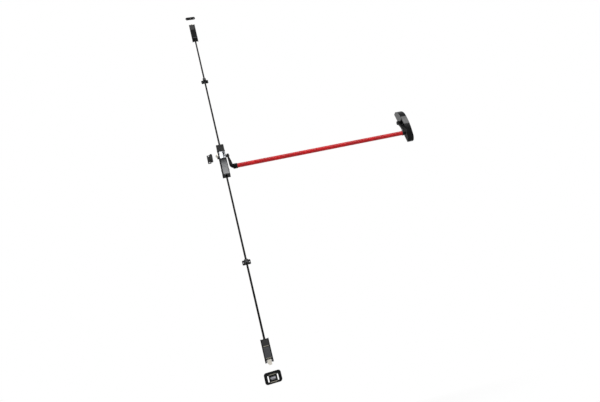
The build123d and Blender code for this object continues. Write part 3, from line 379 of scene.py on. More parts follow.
@dataclass(frozen=True)
class PowderPaint:
    """Powder paint: orange peel, dulled clouds, dust specks, and rubbed edges where zinc shows.

    Attributes:
        name: Name of the material.
        colour: Colour of the paint.
        dulled: Colour of its dulled clouds.
        gloss: Roughness of the clean paint.
        specular: Level of the paint's own reflection.
        rub: How far the edges are rubbed, from 0 to 1.
        marks: Way of the scuff marks.
        field: Field of another colour under a clear layer, if there is one.
        inner: Colour of the field.
        lustre: Weight of its clear layer.
    """

    name: str
    colour: Colour
    dulled: Colour
    gloss: float
    specular: float
    rub: float
    marks: Grain = Grain.SCUFFED_ON_ROD
    field: Optional[Field] = None
    inner: Colour = (0.0, 0.0, 0.0)
    lustre: float = 1.0

    def material(self) -> bpy.types.Material:
        """Builds the material."""
        tree = new_tree(self.name)
        spot = tree.place()
        cloud = tree.noise(spot, scale=14.0, detail=5.0, warp=0.4).smooth(0.30, 0.75)
        speck = tree.noise(spot, scale=2200.0, detail=1.0).smooth(0.72, 0.78)
        hand = tree.noise(spot, scale=55.0, detail=4.0, warp=0.6).smooth(0.42, 0.70)
        worn = tree.noise(spot, scale=260.0, detail=4.0).smooth(0.36, 0.60)
        edge = tree.edges(0.6 * MM) * worn * self.rub
        drag = tree.place(self.marks.value)
        scuff = tree.noise(drag, scale=1.0, detail=2.0, warp=1.2).smooth(0.62, 0.70)
        scuff = scuff * tree.noise(spot, scale=42.0, detail=2.0).smooth(0.48, 0.62)
        peel = tree.noise(spot, scale=750.0, detail=2.0)
        paint = tree.mix(cloud, self.colour, self.dulled)
        coat: Term = 0.0
        if self.field is not None:
            inside = self.field.mask(tree)
            paint = tree.mix(inside, paint, tree.mix(cloud, self.inner, lighter(self.inner, 1.15)))
            coat = inside * self.lustre
        paint = tree.mix(speck * 0.15, paint, lighter(self.colour, 1.4, 0.01))
        paint = tree.mix(scuff * 0.80, paint, lighter(self.dulled, 1.5, 0.012))
        tree.feed(
            Base_Color=tree.mix(edge, paint, ZINC),
            Metallic=edge,
            Roughness=self.gloss + hand * 0.10 + speck * 0.06 + scuff * 0.20 + edge * 0.15,
            Specular_IOR_Level=self.specular,
            Coat_Weight=coat,
            Coat_Roughness=0.15,
            Normal=tree.bump(peel, 0.002 * MM),
        )
        return tree.owner


@dataclass(frozen=True)
class BareMetal:
    """Bare or plated metal: streaks of its grain, stains, scratches and brighter handled edges.

    Attributes:
        name: Name of the material.
        colour: Colour of the metal.
        stained: Colour where it is stained or oiled.
        gloss: Roughness between the streaks.
        streak: How much the streaks change the roughness.
        depth: Depth of the streaks in metres.
        grain: Way of the streaks.
        metallic: 1 for metal, less under an oxide layer.
        painted_to: Place along X up to which the metal is painted black, if it is.
        oiled_from: Place along X from which its front carries a dark film of oil, if it does.
    """

    name: str
    colour: Colour
    stained: Colour
    gloss: float
    streak: float
    depth: float
    grain: Grain
    metallic: float = 1.0
    painted_to: Optional[float] = None
    oiled_from: Optional[float] = None

    def material(self) -> bpy.types.Material:
        """Builds the material."""
        tree = new_tree(self.name)
        spot = tree.place()
        lines = tree.noise(tree.place(self.grain.value), scale=1.0, detail=6.0)
        stain = tree.noise(spot, scale=38.0, detail=5.0, warp=0.8).smooth(0.45, 0.80)
        drag = tree.place(Grain.SCRATCHED.value)
        scratch = tree.noise(drag, scale=1.0, detail=2.0, warp=1.5).smooth(0.70, 0.78)
        edge = tree.edges(0.5 * MM)
        bright = lighter(self.colour, 1.25, 0.02)
        metal = tree.mix(stain * 0.8, self.colour, self.stained)
        metal = tree.mix(lines.smooth(0.35, 0.70) * 0.22, metal, bright)
        metal = tree.mix(edge * 0.55 + scratch * 0.35, metal, bright)
        metallic: Term = self.metallic
        rough = self.gloss + lines * self.streak + stain * 0.10 - edge * 0.05
        if self.oiled_from is not None:
            film = tree.part(spot, "X").above(self.oiled_from, 1.0 * MM)
            film = film * tree.noise(spot, scale=160.0, detail=4.0, warp=0.5).smooth(0.25, 0.60)
            metal = tree.mix(film * 0.95, metal, OIL)
        if self.painted_to is not None:
            lacquer_gloss = 0.16
            bare = tree.part(spot, "X").above(self.painted_to, 0.2 * MM)
            metal = tree.mix(bare, LACQUER, metal)
            metallic = bare * self.metallic
            rough = lacquer_gloss + (rough - lacquer_gloss) * bare
        tree.feed(
            Base_Color=metal,
            Metallic=metallic,
            Roughness=rough,
            Normal=tree.bump(lines + scratch * 0.6, self.depth),
        )
        return tree.owner


@dataclass(frozen=True)
class MouldedNylon:
    """Moulded nylon or rubber: matt, with flow marks and a fine spark-eroded skin.

    Attributes:
        name: Name of the material.
        colour: Its colour.
        flow: Colour of its flow marks.
        gloss: Its roughness.
    """

    name: str
    colour: Colour
    flow: Colour
    gloss: float

    def material(self) -> bpy.types.Material:
        """Builds the material."""
        tree = new_tree(self.name)
        flow = tree.noise(tree.place(Grain.MOULD_FLOW.value), scale=1.0, detail=4.0, warp=1.2)
        skin = tree.noise(tree.place(), scale=2600.0, detail=2.0)
        tree.feed(
            Base_Color=tree.mix(flow.smooth(0.35, 0.75), self.colour, self.flow),
            Roughness=self.gloss + skin * 0.12,
            Normal=tree.bump(skin + flow * 0.5, 0.02 * MM),
        )
        return tree.owner


def lid(name: str, field: Field, inner: Colour, lustre: float = 1.0) -> PowderPaint:
    """Black paint with a satin field on its front.

    Args:
        name: Name of the finish.
        field: The field.
        inner: Its colour.
        lustre: Weight of its clear layer.

    Returns:
        The finish.
    """
    return PowderPaint(name, BLACK, DUSTY_BLACK, gloss=0.20, specular=0.08, rub=0.45, field=field,
                       inner=inner, lustre=lustre)


class Shelf:
    """All finishes of the lock, each made once and handed out by name."""

    def __init__(self) -> None:
        """Makes the materials."""
        finishes = (*self.paints(), *self.metals(), *self.plastics())
        self.materials = {finish.name: finish.material() for finish in finishes}

    def paints(self) -> Tuple[PowderPaint, ...]:
        """The paints of bar, arms, rods and covers."""
        # The lower cover's grey satin field fades to black over its top 38 mm: painted shade.
        lock_field_shaded_top = Field(-11.5 * MM, 15.5 * MM, -113.5 * MM, -20.5 * MM, painted_shade_fade=38 * MM)
        # The arch's field and upper left side are glossier and a little lighter: real gloss, plus a painted
        # highlight in their colour.
        arch_highlight_field = ArchField(977.5 * MM, 1010.5 * MM, -34 * MM, 12 * MM, side_low=2 * MM)
        upper_cap = Field(-13 * MM, 13 * MM, 945 * MM, 987.5 * MM)
        lower_cap = Field(-13 * MM, 13 * MM, -947 * MM, -921 * MM)
        lower_panel = Field(-12.6 * MM, 12.6 * MM, -993.5 * MM, -950 * MM)
        # The guide's middle saddle is a lighter satin grey than its black ears: painted highlight.
        saddle_highlight = Field(-6 * MM, 6 * MM, -1.0, 1.0)
        return (
            PowderPaint("black_paint", BLACK, DUSTY_BLACK, gloss=0.20, specular=0.08, rub=0.50),
            PowderPaint("cover_black", shade(35, 35, 35), shade(42, 42, 42), gloss=0.24, specular=0.10,
                        rub=0.50),
            PowderPaint("arm_black", shade(7, 8, 9), LACQUER, gloss=0.16, specular=0.05, rub=0.45),
            PowderPaint("rod_black", shade(8, 9, 10), LACQUER, gloss=0.34, specular=0.08, rub=0.25),
            PowderPaint("rod_grey", shade(20, 21, 22), shade(26, 27, 28), gloss=0.34, specular=0.08,
                        rub=0.25),
            PowderPaint("red_paint", shade(204, 7, 18), shade(166, 7, 17), gloss=0.26, specular=0.25,
                        rub=0.30, marks=Grain.SCUFFED_ON_BAR),
            lid("lock_lid", lock_field_shaded_top, shade(50, 52, 57)),
            lid("upper_case_lid", upper_cap, shade(14, 15, 16), lustre=0.75),
            lid("lower_case_lid", lower_cap, shade(17, 18, 19), lustre=0.75),
            lid("lower_case_front", lower_panel, shade(45, 47, 51)),
            lid("arch_lid", arch_highlight_field, shade(16, 17, 18)),
            lid("guide_saddle", saddle_highlight, shade(40, 41, 42)),
        )

    def metals(self) -> Tuple[BareMetal, ...]:
        """The bare, plated and oxidised metals."""
        return (
            BareMetal("bright_steel", ZINC, OILED_ZINC, gloss=0.22, streak=0.22, depth=0.006 * MM,
                      grain=Grain.ALONG_BAR),
            BareMetal("case_steel", shade(168, 170, 173), shade(142, 145, 150), gloss=0.14, streak=0.14,
                      depth=0.003 * MM, grain=Grain.ALONG_ROD, painted_to=-11 * MM, oiled_from=4.5 * MM),
            BareMetal("plate_steel", shade(176, 178, 180), shade(138, 140, 144), gloss=0.30, streak=0.25,
                      depth=0.008 * MM, grain=Grain.ALONG_ROD),
            BareMetal("dark_steel", STEEL, SOOT, gloss=0.38, streak=0.20, depth=0.008 * MM,
                      grain=Grain.TUMBLED, metallic=0.9),
            BareMetal("turned_steel", shade(52, 54, 57), SOOT, gloss=0.30, streak=0.25, depth=0.008 * MM,
                      grain=Grain.TURNED_ON_BAR, metallic=0.95),
            BareMetal("nickel_bolt", shade(200, 196, 187), shade(162, 157, 148), gloss=0.24, streak=0.20,
                      depth=0.006 * MM, grain=Grain.ALONG_ROD),
            BareMetal("keep_steel", shade(138, 138, 144), shade(96, 96, 102), gloss=0.30, streak=0.25,
                      depth=0.008 * MM, grain=Grain.ALONG_BAR),
            # Also the metal of the lower case's light lines, which are painted highlights of its edges.
            BareMetal("wear_and_highlight_strip", shade(128, 125, 114), shade(96, 94, 86), gloss=0.28, streak=0.20,
                      depth=0.006 * MM, grain=Grain.ALONG_BAR),
            BareMetal("spring_steel", shade(128, 131, 137), SOOT, gloss=0.30, streak=0.15, depth=0.005 * MM,
                      grain=Grain.TUMBLED),
            BareMetal("bush", shade(44, 43, 41), shade(26, 26, 25), gloss=0.34, streak=0.20,
                      depth=0.007 * MM, grain=Grain.TURNED_ON_BAR, metallic=0.8),
        )

    def plastics(self) -> Tuple[MouldedNylon, ...]:
        """The nylon and the rubber."""
        return (
            MouldedNylon("nylon", shade(26, 27, 29), shade(36, 37, 39), gloss=0.42),
            MouldedNylon("seal_rubber", shade(14, 14, 15), shade(24, 24, 25), gloss=0.55),
        )

    def dress(self, piece: Piece, finish: str) -> None:
        """Gives a piece one finish in each of its material slots.

        Args:
            piece: CAD node or new piece.
            finish: Name of the finish.
        """
        material = self.materials[finish]
        if not piece.material_slots:
            piece.data.materials.append(material)
        for held in piece.material_slots:
            held.material = material
        LOG.info("%s: %s", piece.name, finish)


# Surfaces


def filled(name: str, grid: np.ndarray, ring: bool, sharp: float = 35.0) -> Piece:
    """Closed mesh over a grid of points.

    Each row is a closed section. Neighbouring points of neighbouring rows make a four-sided face.
    In a ring the last row meets the first; otherwise each end is closed by a fan of triangles to
    the mean of its row. If six times the signed volume, the sum over all triangles of a dot
    (b cross c), is negative, every face is turned round.

    Args:
        name: Name of the piece.
        grid: Points as rows by columns by three, in metres.
        ring: True if the rows close on themselves.
        sharp: Angle in degrees past which an edge stays sharp.

    Returns:
        The piece, linked to the scene.
    """
    rows, columns, _ = grid.shape
    index = np.arange(rows * columns).reshape(rows, columns)
    first, second = (index, np.roll(index, -1, 0)) if ring else (index[:-1], index[1:])
    quads = np.stack([first, np.roll(first, -1, 1), np.roll(second, -1, 1), second], -1).reshape(-1, 4)
    points = grid.reshape(-1, 3)
    fans = np.empty((0, 3), int)
    if not ring:
        points = np.vstack([points, grid[0].mean(0), grid[-1].mean(0)])
        start, end = index[0], index[-1]
        poles = np.full((2, columns), rows * columns) + np.array([[0], [1]])
        fans = np.vstack([np.stack([np.roll(start, -1), start, poles[0]], -1),
                          np.stack([end, np.roll(end, -1), poles[1]], -1)])
    triangles = np.vstack([quads[:, [0, 1, 2]], quads[:, [0, 2, 3]], fans])
    corners = points[triangles]
    if np.einsum("ij,ij->", corners[:, 0], np.cross(corners[:, 1], corners[:, 2])) < 0:
        quads, fans = quads[:, ::-1], fans[:, ::-1]
    mesh = bpy.data.meshes.new(name)
    mesh.from_pydata(points.tolist(), [], quads.tolist() + fans.tolist())
    mesh.polygons.foreach_set("use_smooth", np.ones(len(mesh.polygons), bool))
    mesh.set_sharp_from_angle(angle=radians(sharp))
    mesh.update()
    piece = bpy.data.objects.new(name, mesh)
    bpy.context.scene.collection.objects.link(piece)
    return piece


def angles(steps: int) -> np.ndarray:
    """Angles of a whole turn in equal steps, the first half a step from 0."""
    return (np.arange(steps) + 0.5) * 2 * pi / steps


def crossways(axis: Triple) -> Tuple[np.ndarray, np.ndarray]:
    """Two unit vectors square to an axis and to each other, from its product with a skew vector."""
    side = np.cross(axis, [0.31, 0.87, 0.39])
    side /= np.linalg.norm(side)
    return side, np.cross(axis, side)


def oval(width: float, height: float, power: float = 2.0, steps: int = 16) -> np.ndarray:
    """Closed superellipse section of two columns.

    At each angle t the point is half the width times sign and power 2/p of cos t, and half the
    height times the same of sin t; p of 2 is an ellipse and more is squarer.

    Args:
        width: Whole width in metres.
        height: Whole height in metres.
        power: Power p.
        steps: Number of points.

    Returns:
        The points, steps by two.
    """
    wave = np.stack([np.cos(angles(steps)), np.sin(angles(steps))], -1)
    return np.sign(wave) * np.abs(wave) ** (2.0 / power) * np.array([width / 2, height / 2])


def turned(name: str, origin: Triple, axis: Triple, profile: np.ndarray, steps: int = 48) -> Piece:
    """Ring turned about an axis.

    A profile point (a, r) at the angle t lies at origin plus a times the axis plus r times
    (cos t times u plus sin t times v), where u and v stand square to the axis.

    Args:
        name: Name of the piece.
        origin: Point on the axis, in metres.
        axis: Unit vector of the axis.
        profile: Closed profile as (along, radius) pairs.
        steps: Number of steps round the axis.

    Returns:
        The ring.
    """
    side, other = crossways(axis)
    angle = np.arange(steps)[:, None, None] * 2 * pi / steps
    out = np.cos(angle) * side + np.sin(angle) * other
    grid = np.array(origin) + profile[None, :, :1] * np.array(axis) + profile[None, :, 1:] * out
    return filled(name, grid, True)


def loop(half_width: float, half_height: float, corner: float, steps: int = 64) -> Path:
    """Rounded rectangle as a path, and its outward direction.

    At each angle t the direction is (cos t, sin t); the point is the centre of that quadrant's
    corner, at half the size less the corner radius, plus the radius times the direction.

    Args:
        half_width: Half the width in metres.
        half_height: Half the height in metres.
        corner: Radius of the corners.
        steps: Number of points, a multiple of four.

    Returns:
        The points and the directions, each steps by two.
    """
    out = np.stack([np.cos(angles(steps)), np.sin(angles(steps))], -1)
    centre = np.sign(out) * (np.array([half_width, half_height]) - corner)
    return centre + corner * out, out


def bead(name: str, centre: Triple, wide: Triple, high: Triple, path: Path,
         section: np.ndarray) -> Piece:
    """Bead carried round a flat closed path.

    The path's plane is spanned by two unit vectors. A section point (s, h) lies s outwards from
    the path and h along the plane's normal.

    Args:
        name: Name of the piece.
        centre: Middle of the path, in metres.
        wide: Unit vector of the path's first column.
        high: Unit vector of its second column.
        path: Points and outward directions of the path.
        section: Closed section as (outwards, normal) pairs.

    Returns:
        The bead.
    """
    plane = np.array([wide, high])
    points, out = path[0] @ plane, path[1] @ plane
    grid = np.array(centre) + points[:, None] + section[None, :, :1] * out[:, None]
    return filled(name, grid + section[None, :, 1:] * np.cross(wide, high), True)


def strip(name: str, path: np.ndarray, out: np.ndarray, normal: Triple, section: np.ndarray) -> Piece:
    """Strip carried along an open path, with closed ends.

    Args:
        name: Name of the piece.
        path: Points of the path, in metres.
        out: Outward unit vector at each point.
        normal: Unit vector square to the path and to out.
        section: Closed section as (outwards, normal) pairs.

    Returns:
        The strip.
    """
    grid = path[:, None] + section[None, :, :1] * out[:, None] + section[None, :, 1:] * np.array(normal)
    return filled(name, grid, False)


def plate(name: str, centre: Triple, outer: np.ndarray, inner: np.ndarray, thick: float) -> Piece:
    """Level plate with a hole.

    A section point (u, v) at the angle t lies u of the way from the hole's point to the rim's
    point at that angle, and v times the thickness along Z; the section is a squarish
    superellipse from 0 to 1 in u and from -1/2 to 1/2 in v.

    Args:
        name: Name of the piece.
        centre: Middle of the plate, in metres.
        outer: Points of the rim as (X, Y) pairs from the centre.
        inner: Points of the hole, at the same angles.
        thick: Thickness of the plate.

    Returns:
        The plate.
    """
    section = oval(1.0, 1.0, power=9.0, steps=12)
    share = section[None, :, :1] + 0.5
    flat = inner[:, None] * (1.0 - share) + outer[:, None] * share
    grid = np.array(centre) + flat @ np.array([BARWARD, INWARD])
    return filled(name, grid + section[None, :, 1:] * thick * np.array(UPWARD), True)


def cushion(name: str, low: Triple, high: Triple, power: float = 7.0) -> Piece:
    """Block with every edge and corner rounded, between two corners.

    Rows run along Y. The row at the share s from -1 to 1 is the XZ section, a superellipse of
    the block's width and height, times (1 - |s| to the power p) to the power 1/p.

    Args:
        name: Name of the piece.
        low: Lowest corner, in metres.
        high: Highest corner.
        power: Power p.

    Returns:
        The block.
    """
    corner, top = np.array(low), np.array(high)
    centre, size = (corner + top) / 2, top - corner
    share = np.sin(np.linspace(-0.496, 0.496, 25) * pi)
    swell = (1.0 - np.abs(share) ** power) ** (1.0 / power)
    ring = oval(size[0], size[2], power, steps=40)
    grid = np.empty((len(share), len(ring), 3))
    grid[:, :, 0] = centre[0] + swell[:, None] * ring[:, 0]
    grid[:, :, 1] = centre[1] + share[:, None] * size[1] / 2
    grid[:, :, 2] = centre[2] + swell[:, None] * ring[:, 1]
    return filled(name, grid, False, sharp=60.0)


@dataclass
class Coil:
    """Compression spring of round wire with a closed turn at each end.

    Attributes:
        foot: Point on its axis at its lower end.
        length: Its length in the lock.
        radius: Radius of the turns' middle line.
        wire: Diameter of the wire.
        turns: Number of turns.
        joint: Joint that presses it; not used.
        travel: How far that joint shortens it; not used.
        held: Place along the axis of the end that stays where it is; not used.
        axis: Unit vector of its axis.
    """

    foot: Triple
    length: float
    radius: float
    wire: float
    turns: int
    joint: str
    travel: float
    held: float
    axis: Triple = UPWARD

    def build(self, name: str) -> Piece:
        """Builds the spring.

        The middle line at t turns is foot plus a(t) along the axis plus the radius times the
        outward vector at the angle 2 pi t. a(t) rises by the wire's diameter in the first and
        last turn and evenly between them, softened over half a turn. A circle of the wire's
        size, square to the line's direction, is carried along it.

        Args:
            name: Name of the piece.

        Returns:
            The spring.
        """
        steps, wire_steps = 32, 10
        turn = np.linspace(0.0, self.turns, self.turns * steps + 1)
        dead, top = self.wire * 1.03, self.length - self.wire
        knots = [0.0, 1.0, self.turns - 1.0, float(self.turns)]
        rise = np.interp(turn, knots, [0.0, dead, top - dead, top])
        window = np.hanning(steps // 2 + 1) / np.hanning(steps // 2 + 1).sum()
        rise = np.convolve(np.pad(rise, steps // 4, "reflect", reflect_type="odd"), window, "valid")
        rise = rise + self.wire / 2
        side, other = crossways(self.axis)
        angle = 2 * pi * turn[:, None]
        out = np.cos(angle) * side + np.sin(angle) * other
        line = np.array(self.foot) + rise[:, None] * np.array(self.axis) + self.radius * out
        way = np.gradient(line, axis=0)
        way /= np.linalg.norm(way, axis=1)[:, None]
        third = np.cross(way, out)
        round_wire = np.arange(wire_steps)[None, :, None] * 2 * pi / wire_steps
        ring = np.cos(round_wire) * out[:, None] + np.sin(round_wire) * third[:, None]
        return filled(name, line[:, None] + self.wire / 2 * ring, False)

    def press(self, piece: Piece) -> None:
        """Gives the spring its own copy of its mesh."""
        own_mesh(piece)


@dataclass(frozen=True)
class Place:
    """Where a new piece belongs.

    Attributes:
        finish: Its finish.
        slot: Its record slot; not used.
        body: Its CAD body.
    """

    finish: str
    slot: str
    body: str = "root"


BLACK_PART = Place("black_paint", "black_paint")
RUBBER_PART = Place("seal_rubber", "black_paint")
DARK_PART = Place("dark_steel", "dark_steel")
BRIGHT_PART = Place("bright_steel", "bright_steel")


class Workshop:
    """Dresses CAD nodes and puts new pieces on their bodies."""

    def __init__(self, frame: Dict[str, Any], shelf: Shelf) -> None:
        """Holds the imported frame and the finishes."""
        self.nodes = frame["nodes"]
        self.shelf = shelf

    def dress(self, finish: str, *nodes: str) -> None:
        """Gives CAD nodes a finish.

        Args:
            finish: Name of the finish.
            nodes: Names of the nodes.
        """
        for node in nodes:
            self.shelf.dress(self.nodes[node], finish)

    def wind(self, node: str, coil: Coil) -> None:
        """Puts a wound spring in the place of a CAD spring.

        Args:
            node: Name of the CAD spring.
            coil: The spring that takes its place.
        """
        piece = coil.build(f"{node}_wire")
        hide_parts(node)
        self.mount(piece, Place("spring_steel", "spring_steel"))
        coil.press(piece)

    def mount(self, piece: Piece, place: Place) -> None:
        """Puts a new piece on its body and gives it its finish.

        Args:
            piece: The new piece.
            place: Where it belongs.
        """
        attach(piece, place.body)
        self.shelf.dress(piece, place.finish)


# Sub-assemblies


@dataclass
class PushBar:
    """Red tube between two cranked arms, with the shafts and fasteners that turn with it.

    Attributes:
        tube_radius: Radius of the tube.
        left_mouth: Place along X of the left socket's mouth.
        right_mouth: Place along X of the right socket's mouth.
        out: Distance of the tube's axis from the door.
        drop: Distance of the tube's axis below the pivot.
        seal_size: Length and thickness of a socket's seal ring.
        seal_proud: How far the ring's middle stands out of the mouth.
        seal_lift: How far the ring's middle lies outside the tube.
    """

    tube_radius: float = 11 * MM
    left_mouth: float = 59 * MM
    right_mouth: float = 937 * MM
    out: float = 60 * MM
    drop: float = 99 * MM
    seal_size: Pair = (2.4 * MM, 1.8 * MM)
    seal_proud: float = 0.9 * MM
    seal_lift: float = 0.92 * MM

    def seal(self, name: str, mouth: float, way: float) -> Piece:
        """Rounded seal ring in the mouth of a socket.

        Args:
            name: Name of the piece.
            mouth: Place of the mouth along X.
            way: 1 if the tube leaves to the right, -1 to the left.

        Returns:
            The ring.
        """
        section = oval(*self.seal_size, power=3.0)
        section += np.array([way * self.seal_proud, self.tube_radius + self.seal_lift])
        return turned(name, (mouth, -self.out, -self.drop), BARWARD, section)

    def build(self, shop: Workshop) -> None:
        """Dresses the bar's nodes and adds its small parts."""
        shop.dress("red_paint", "bar_tube")
        shop.dress("arm_black", "left_arm", "right_arm")
        shop.dress("turned_steel", "drive_shaft", "end_shaft", "retaining_rings")
        shop.dress("dark_steel", "sector_gear", "arm_screws", "arm_grub_screws")
        rubber = Place("seal_rubber", "black_paint", "push_bar")
        shop.mount(self.seal("left_socket_seal", self.left_mouth, 1.0), rubber)
        shop.mount(self.seal("right_socket_seal", self.right_mouth, -1.0), rubber)


@dataclass
class LockBody:
    """Lock case in the middle: black covers over a bare steel case with its gears inside.

    Attributes:
        half_case: Half the width of the steel case.
        case_front: Distance of its front from the door.
        case_corner: Radius of its corners.
        seal_size: Width and height of the seal strips.
        seal_heights: Heights of the strip under the upper cover and of that on the lower cover.
        wall_back: Distance from the door at which the strips end.
        window: Sides of the window in the case's front, as x0, x1, z0, z1.
        lip_size: Width and thickness of the window's lip.
        lip_gap: Distance of the lip's middle line outside the window.
        lip_corner: Radius of that line's corners.
        lip_proud: How far that line stands out of the front.
        peep_left: Place along X of the two small round holes.
        peep_heights: Their heights.
        peep_radius: Radius of their rims' middle line.
        rim_size: Depth and width of a rim.
        rim_proud: How far a rim's middle stands out of the front.
        spring_foot: Height of the main spring's lower end.
        spring_length: Length of the main spring.
    """

    half_case: float = 17 * MM
    case_front: float = 30.5 * MM
    case_corner: float = 1.5 * MM
    seal_size: Pair = (0.9 * MM, 1.1 * MM)
    seal_heights: Pair = (22.6 * MM, -18.6 * MM)
    wall_back: float = 2.2 * MM
    window: Tuple[float, float, float, float] = (6.7 * MM, 12.5 * MM, -9 * MM, 19 * MM)
    lip_size: Pair = (2.2 * MM, 0.8 * MM)
    lip_gap: float = 0.4 * MM
    lip_corner: float = 0.9 * MM
    lip_proud: float = 0.15 * MM
    peep_left: float = -12.5 * MM
    peep_heights: Pair = (-13.5 * MM, 18.5 * MM)
    peep_radius: float = 2.0 * MM
    rim_size: Pair = (0.6 * MM, 0.8 * MM)
    rim_proud: float = 0.1 * MM
    spring_foot: float = -86 * MM
    spring_length: float = 28 * MM

    def seal(self, name: str, height: float) -> Piece:
        """Seal strip that lies round the front and sides of the steel case at a cover's edge.

        The path is half a rounded rectangle: the points of a loop twice as deep as the case
        whose second column lies on the front side, in order of their angle.

        Args:
            name: Name of the piece.
            height: Height of the strip's middle.

        Returns:
            The strip.
        """
        points, out = loop(self.half_case, self.case_front, self.case_corner, steps=96)
        front = points[:, 1] < -self.wall_back
        path = np.column_stack([points[front], np.full(front.sum(), height)])
        side = np.column_stack([out[front], np.zeros(front.sum())])
        return strip(name, path, side, UPWARD, oval(*self.seal_size, power=3.0, steps=12))

    def window_lip(self) -> Piece:
        """Rolled lip round the window in the steel front."""
        x0, x1, z0, z1 = self.window
        path = loop((x1 - x0) / 2 + self.lip_gap, (z1 - z0) / 2 + self.lip_gap, self.lip_corner)
        centre = ((x0 + x1) / 2, -self.case_front - self.lip_proud, (z0 + z1) / 2)
        return bead("window_lip", centre, BARWARD, UPWARD, path, oval(*self.lip_size, power=3.0))

    def peep_rim(self, name: str, height: float) -> Piece:
        """Pressed rim round a small hole of the steel front."""
        section = oval(*self.rim_size) + np.array([self.rim_proud, self.peep_radius])
        return turned(name, (self.peep_left, -self.case_front, height), OUTWARD, section, steps=32)

    def main_spring(self) -> Coil:
        """Spring that presses both bolts out again."""
        return Coil((0, -ROD_OUT, self.spring_foot), length=self.spring_length, radius=5.2 * MM,
                    wire=1.4 * MM, turns=7, joint="lower_rod_slide", travel=STROKE, held=self.spring_length)

    def build(self, shop: Workshop) -> None:
        """Dresses the lock's nodes and adds its seals, lip and rims."""
        shop.dress("cover_black", "top_cover")
        shop.dress("black_paint", "bottom_cap", "latch_plate")
        shop.dress("lock_lid", "lower_cover")
        shop.dress("case_steel", "lock_case")
        shop.dress("plate_steel", "lock_base_plate")
        shop.dress("dark_steel", "cover_screws", "shaft_bracket", "spring_seat", "pinion_spacers")
        shop.dress("turned_steel", "pinion_axle", "pinion")
        shop.dress("dark_steel", "upper_rack", "lower_rack", "upper_pins", "lower_pins")
        shop.dress("bush", "shaft_bush")
        shop.wind("main_spring", self.main_spring())
        for name, height in zip(("upper_cover_seal", "lower_cover_seal"), self.seal_heights):
            shop.mount(self.seal(name, height), RUBBER_PART)
        shop.mount(self.window_lip(), DARK_PART)
        for name, height in zip(("lower_peep_rim", "upper_peep_rim"), self.peep_heights):
            shop.mount(self.peep_rim(name, height), BLACK_PART)


@dataclass
class SideLatch:
    """Bevelled side latch and the small trigger under it, each in a rimmed hole of the face plate.

    Attributes:
        face: Place along X of the face plate's outside.
        latch: Height of the latch's middle, half its depth and half its height.
        trigger: The same of the trigger.
        rim_gap: Distance of a rim's middle line outside its hole.
        rim_corner: Radius of that line's corners.
        rim_proud: How far that line stands out of the face plate.
        rim_size: Width and thickness of a rim.
    """

    face: float = -19 * MM
    latch: Triple = (10.5 * MM, 6.75 * MM, 6.0 * MM)
    trigger: Triple = (-5.0 * MM, 5.0 * MM, 3.0 * MM)
    rim_gap: float = 0.65 * MM
    rim_corner: float = 1.0 * MM
    rim_proud: float = 0.05 * MM
    rim_size: Pair = (0.6 * MM, 0.5 * MM)

    def rim(self, name: str, hole: Triple) -> Piece:
        """Rounded rim round one hole of the face plate.

        Args:
            name: Name of the piece.
            hole: Height of the middle, half the depth and half the height.

        Returns:
            The rim.
        """
        height, half_depth, half_height = hole
        path = loop(half_depth + self.rim_gap, half_height + self.rim_gap, self.rim_corner)
        centre = (self.face - self.rim_proud, -ROD_OUT, height)
        return bead(name, centre, OUTWARD, UPWARD, path, oval(*self.rim_size))

    def trigger_spring(self) -> Coil:
        """Spring behind the trigger, held at its right end."""
        return Coil((-9.5 * MM, -ROD_OUT, self.trigger[0]), length=10 * MM, radius=2 * MM, wire=0.6 * MM,
                    turns=4, joint="trigger_slide", travel=6 * MM, held=10 * MM, axis=BARWARD)

    def build(self, shop: Workshop) -> None:
        """Dresses the latch and trigger and adds the rims."""
        shop.dress("nickel_bolt", "latch")
        shop.dress("dark_steel", "latch_pin")
        shop.dress("black_paint", "trigger")
        shop.wind("trigger_spring", self.trigger_spring())
        shop.mount(self.rim("latch_rim", self.latch), BLACK_PART)
        shop.mount(self.rim("trigger_rim", self.trigger), BLACK_PART)


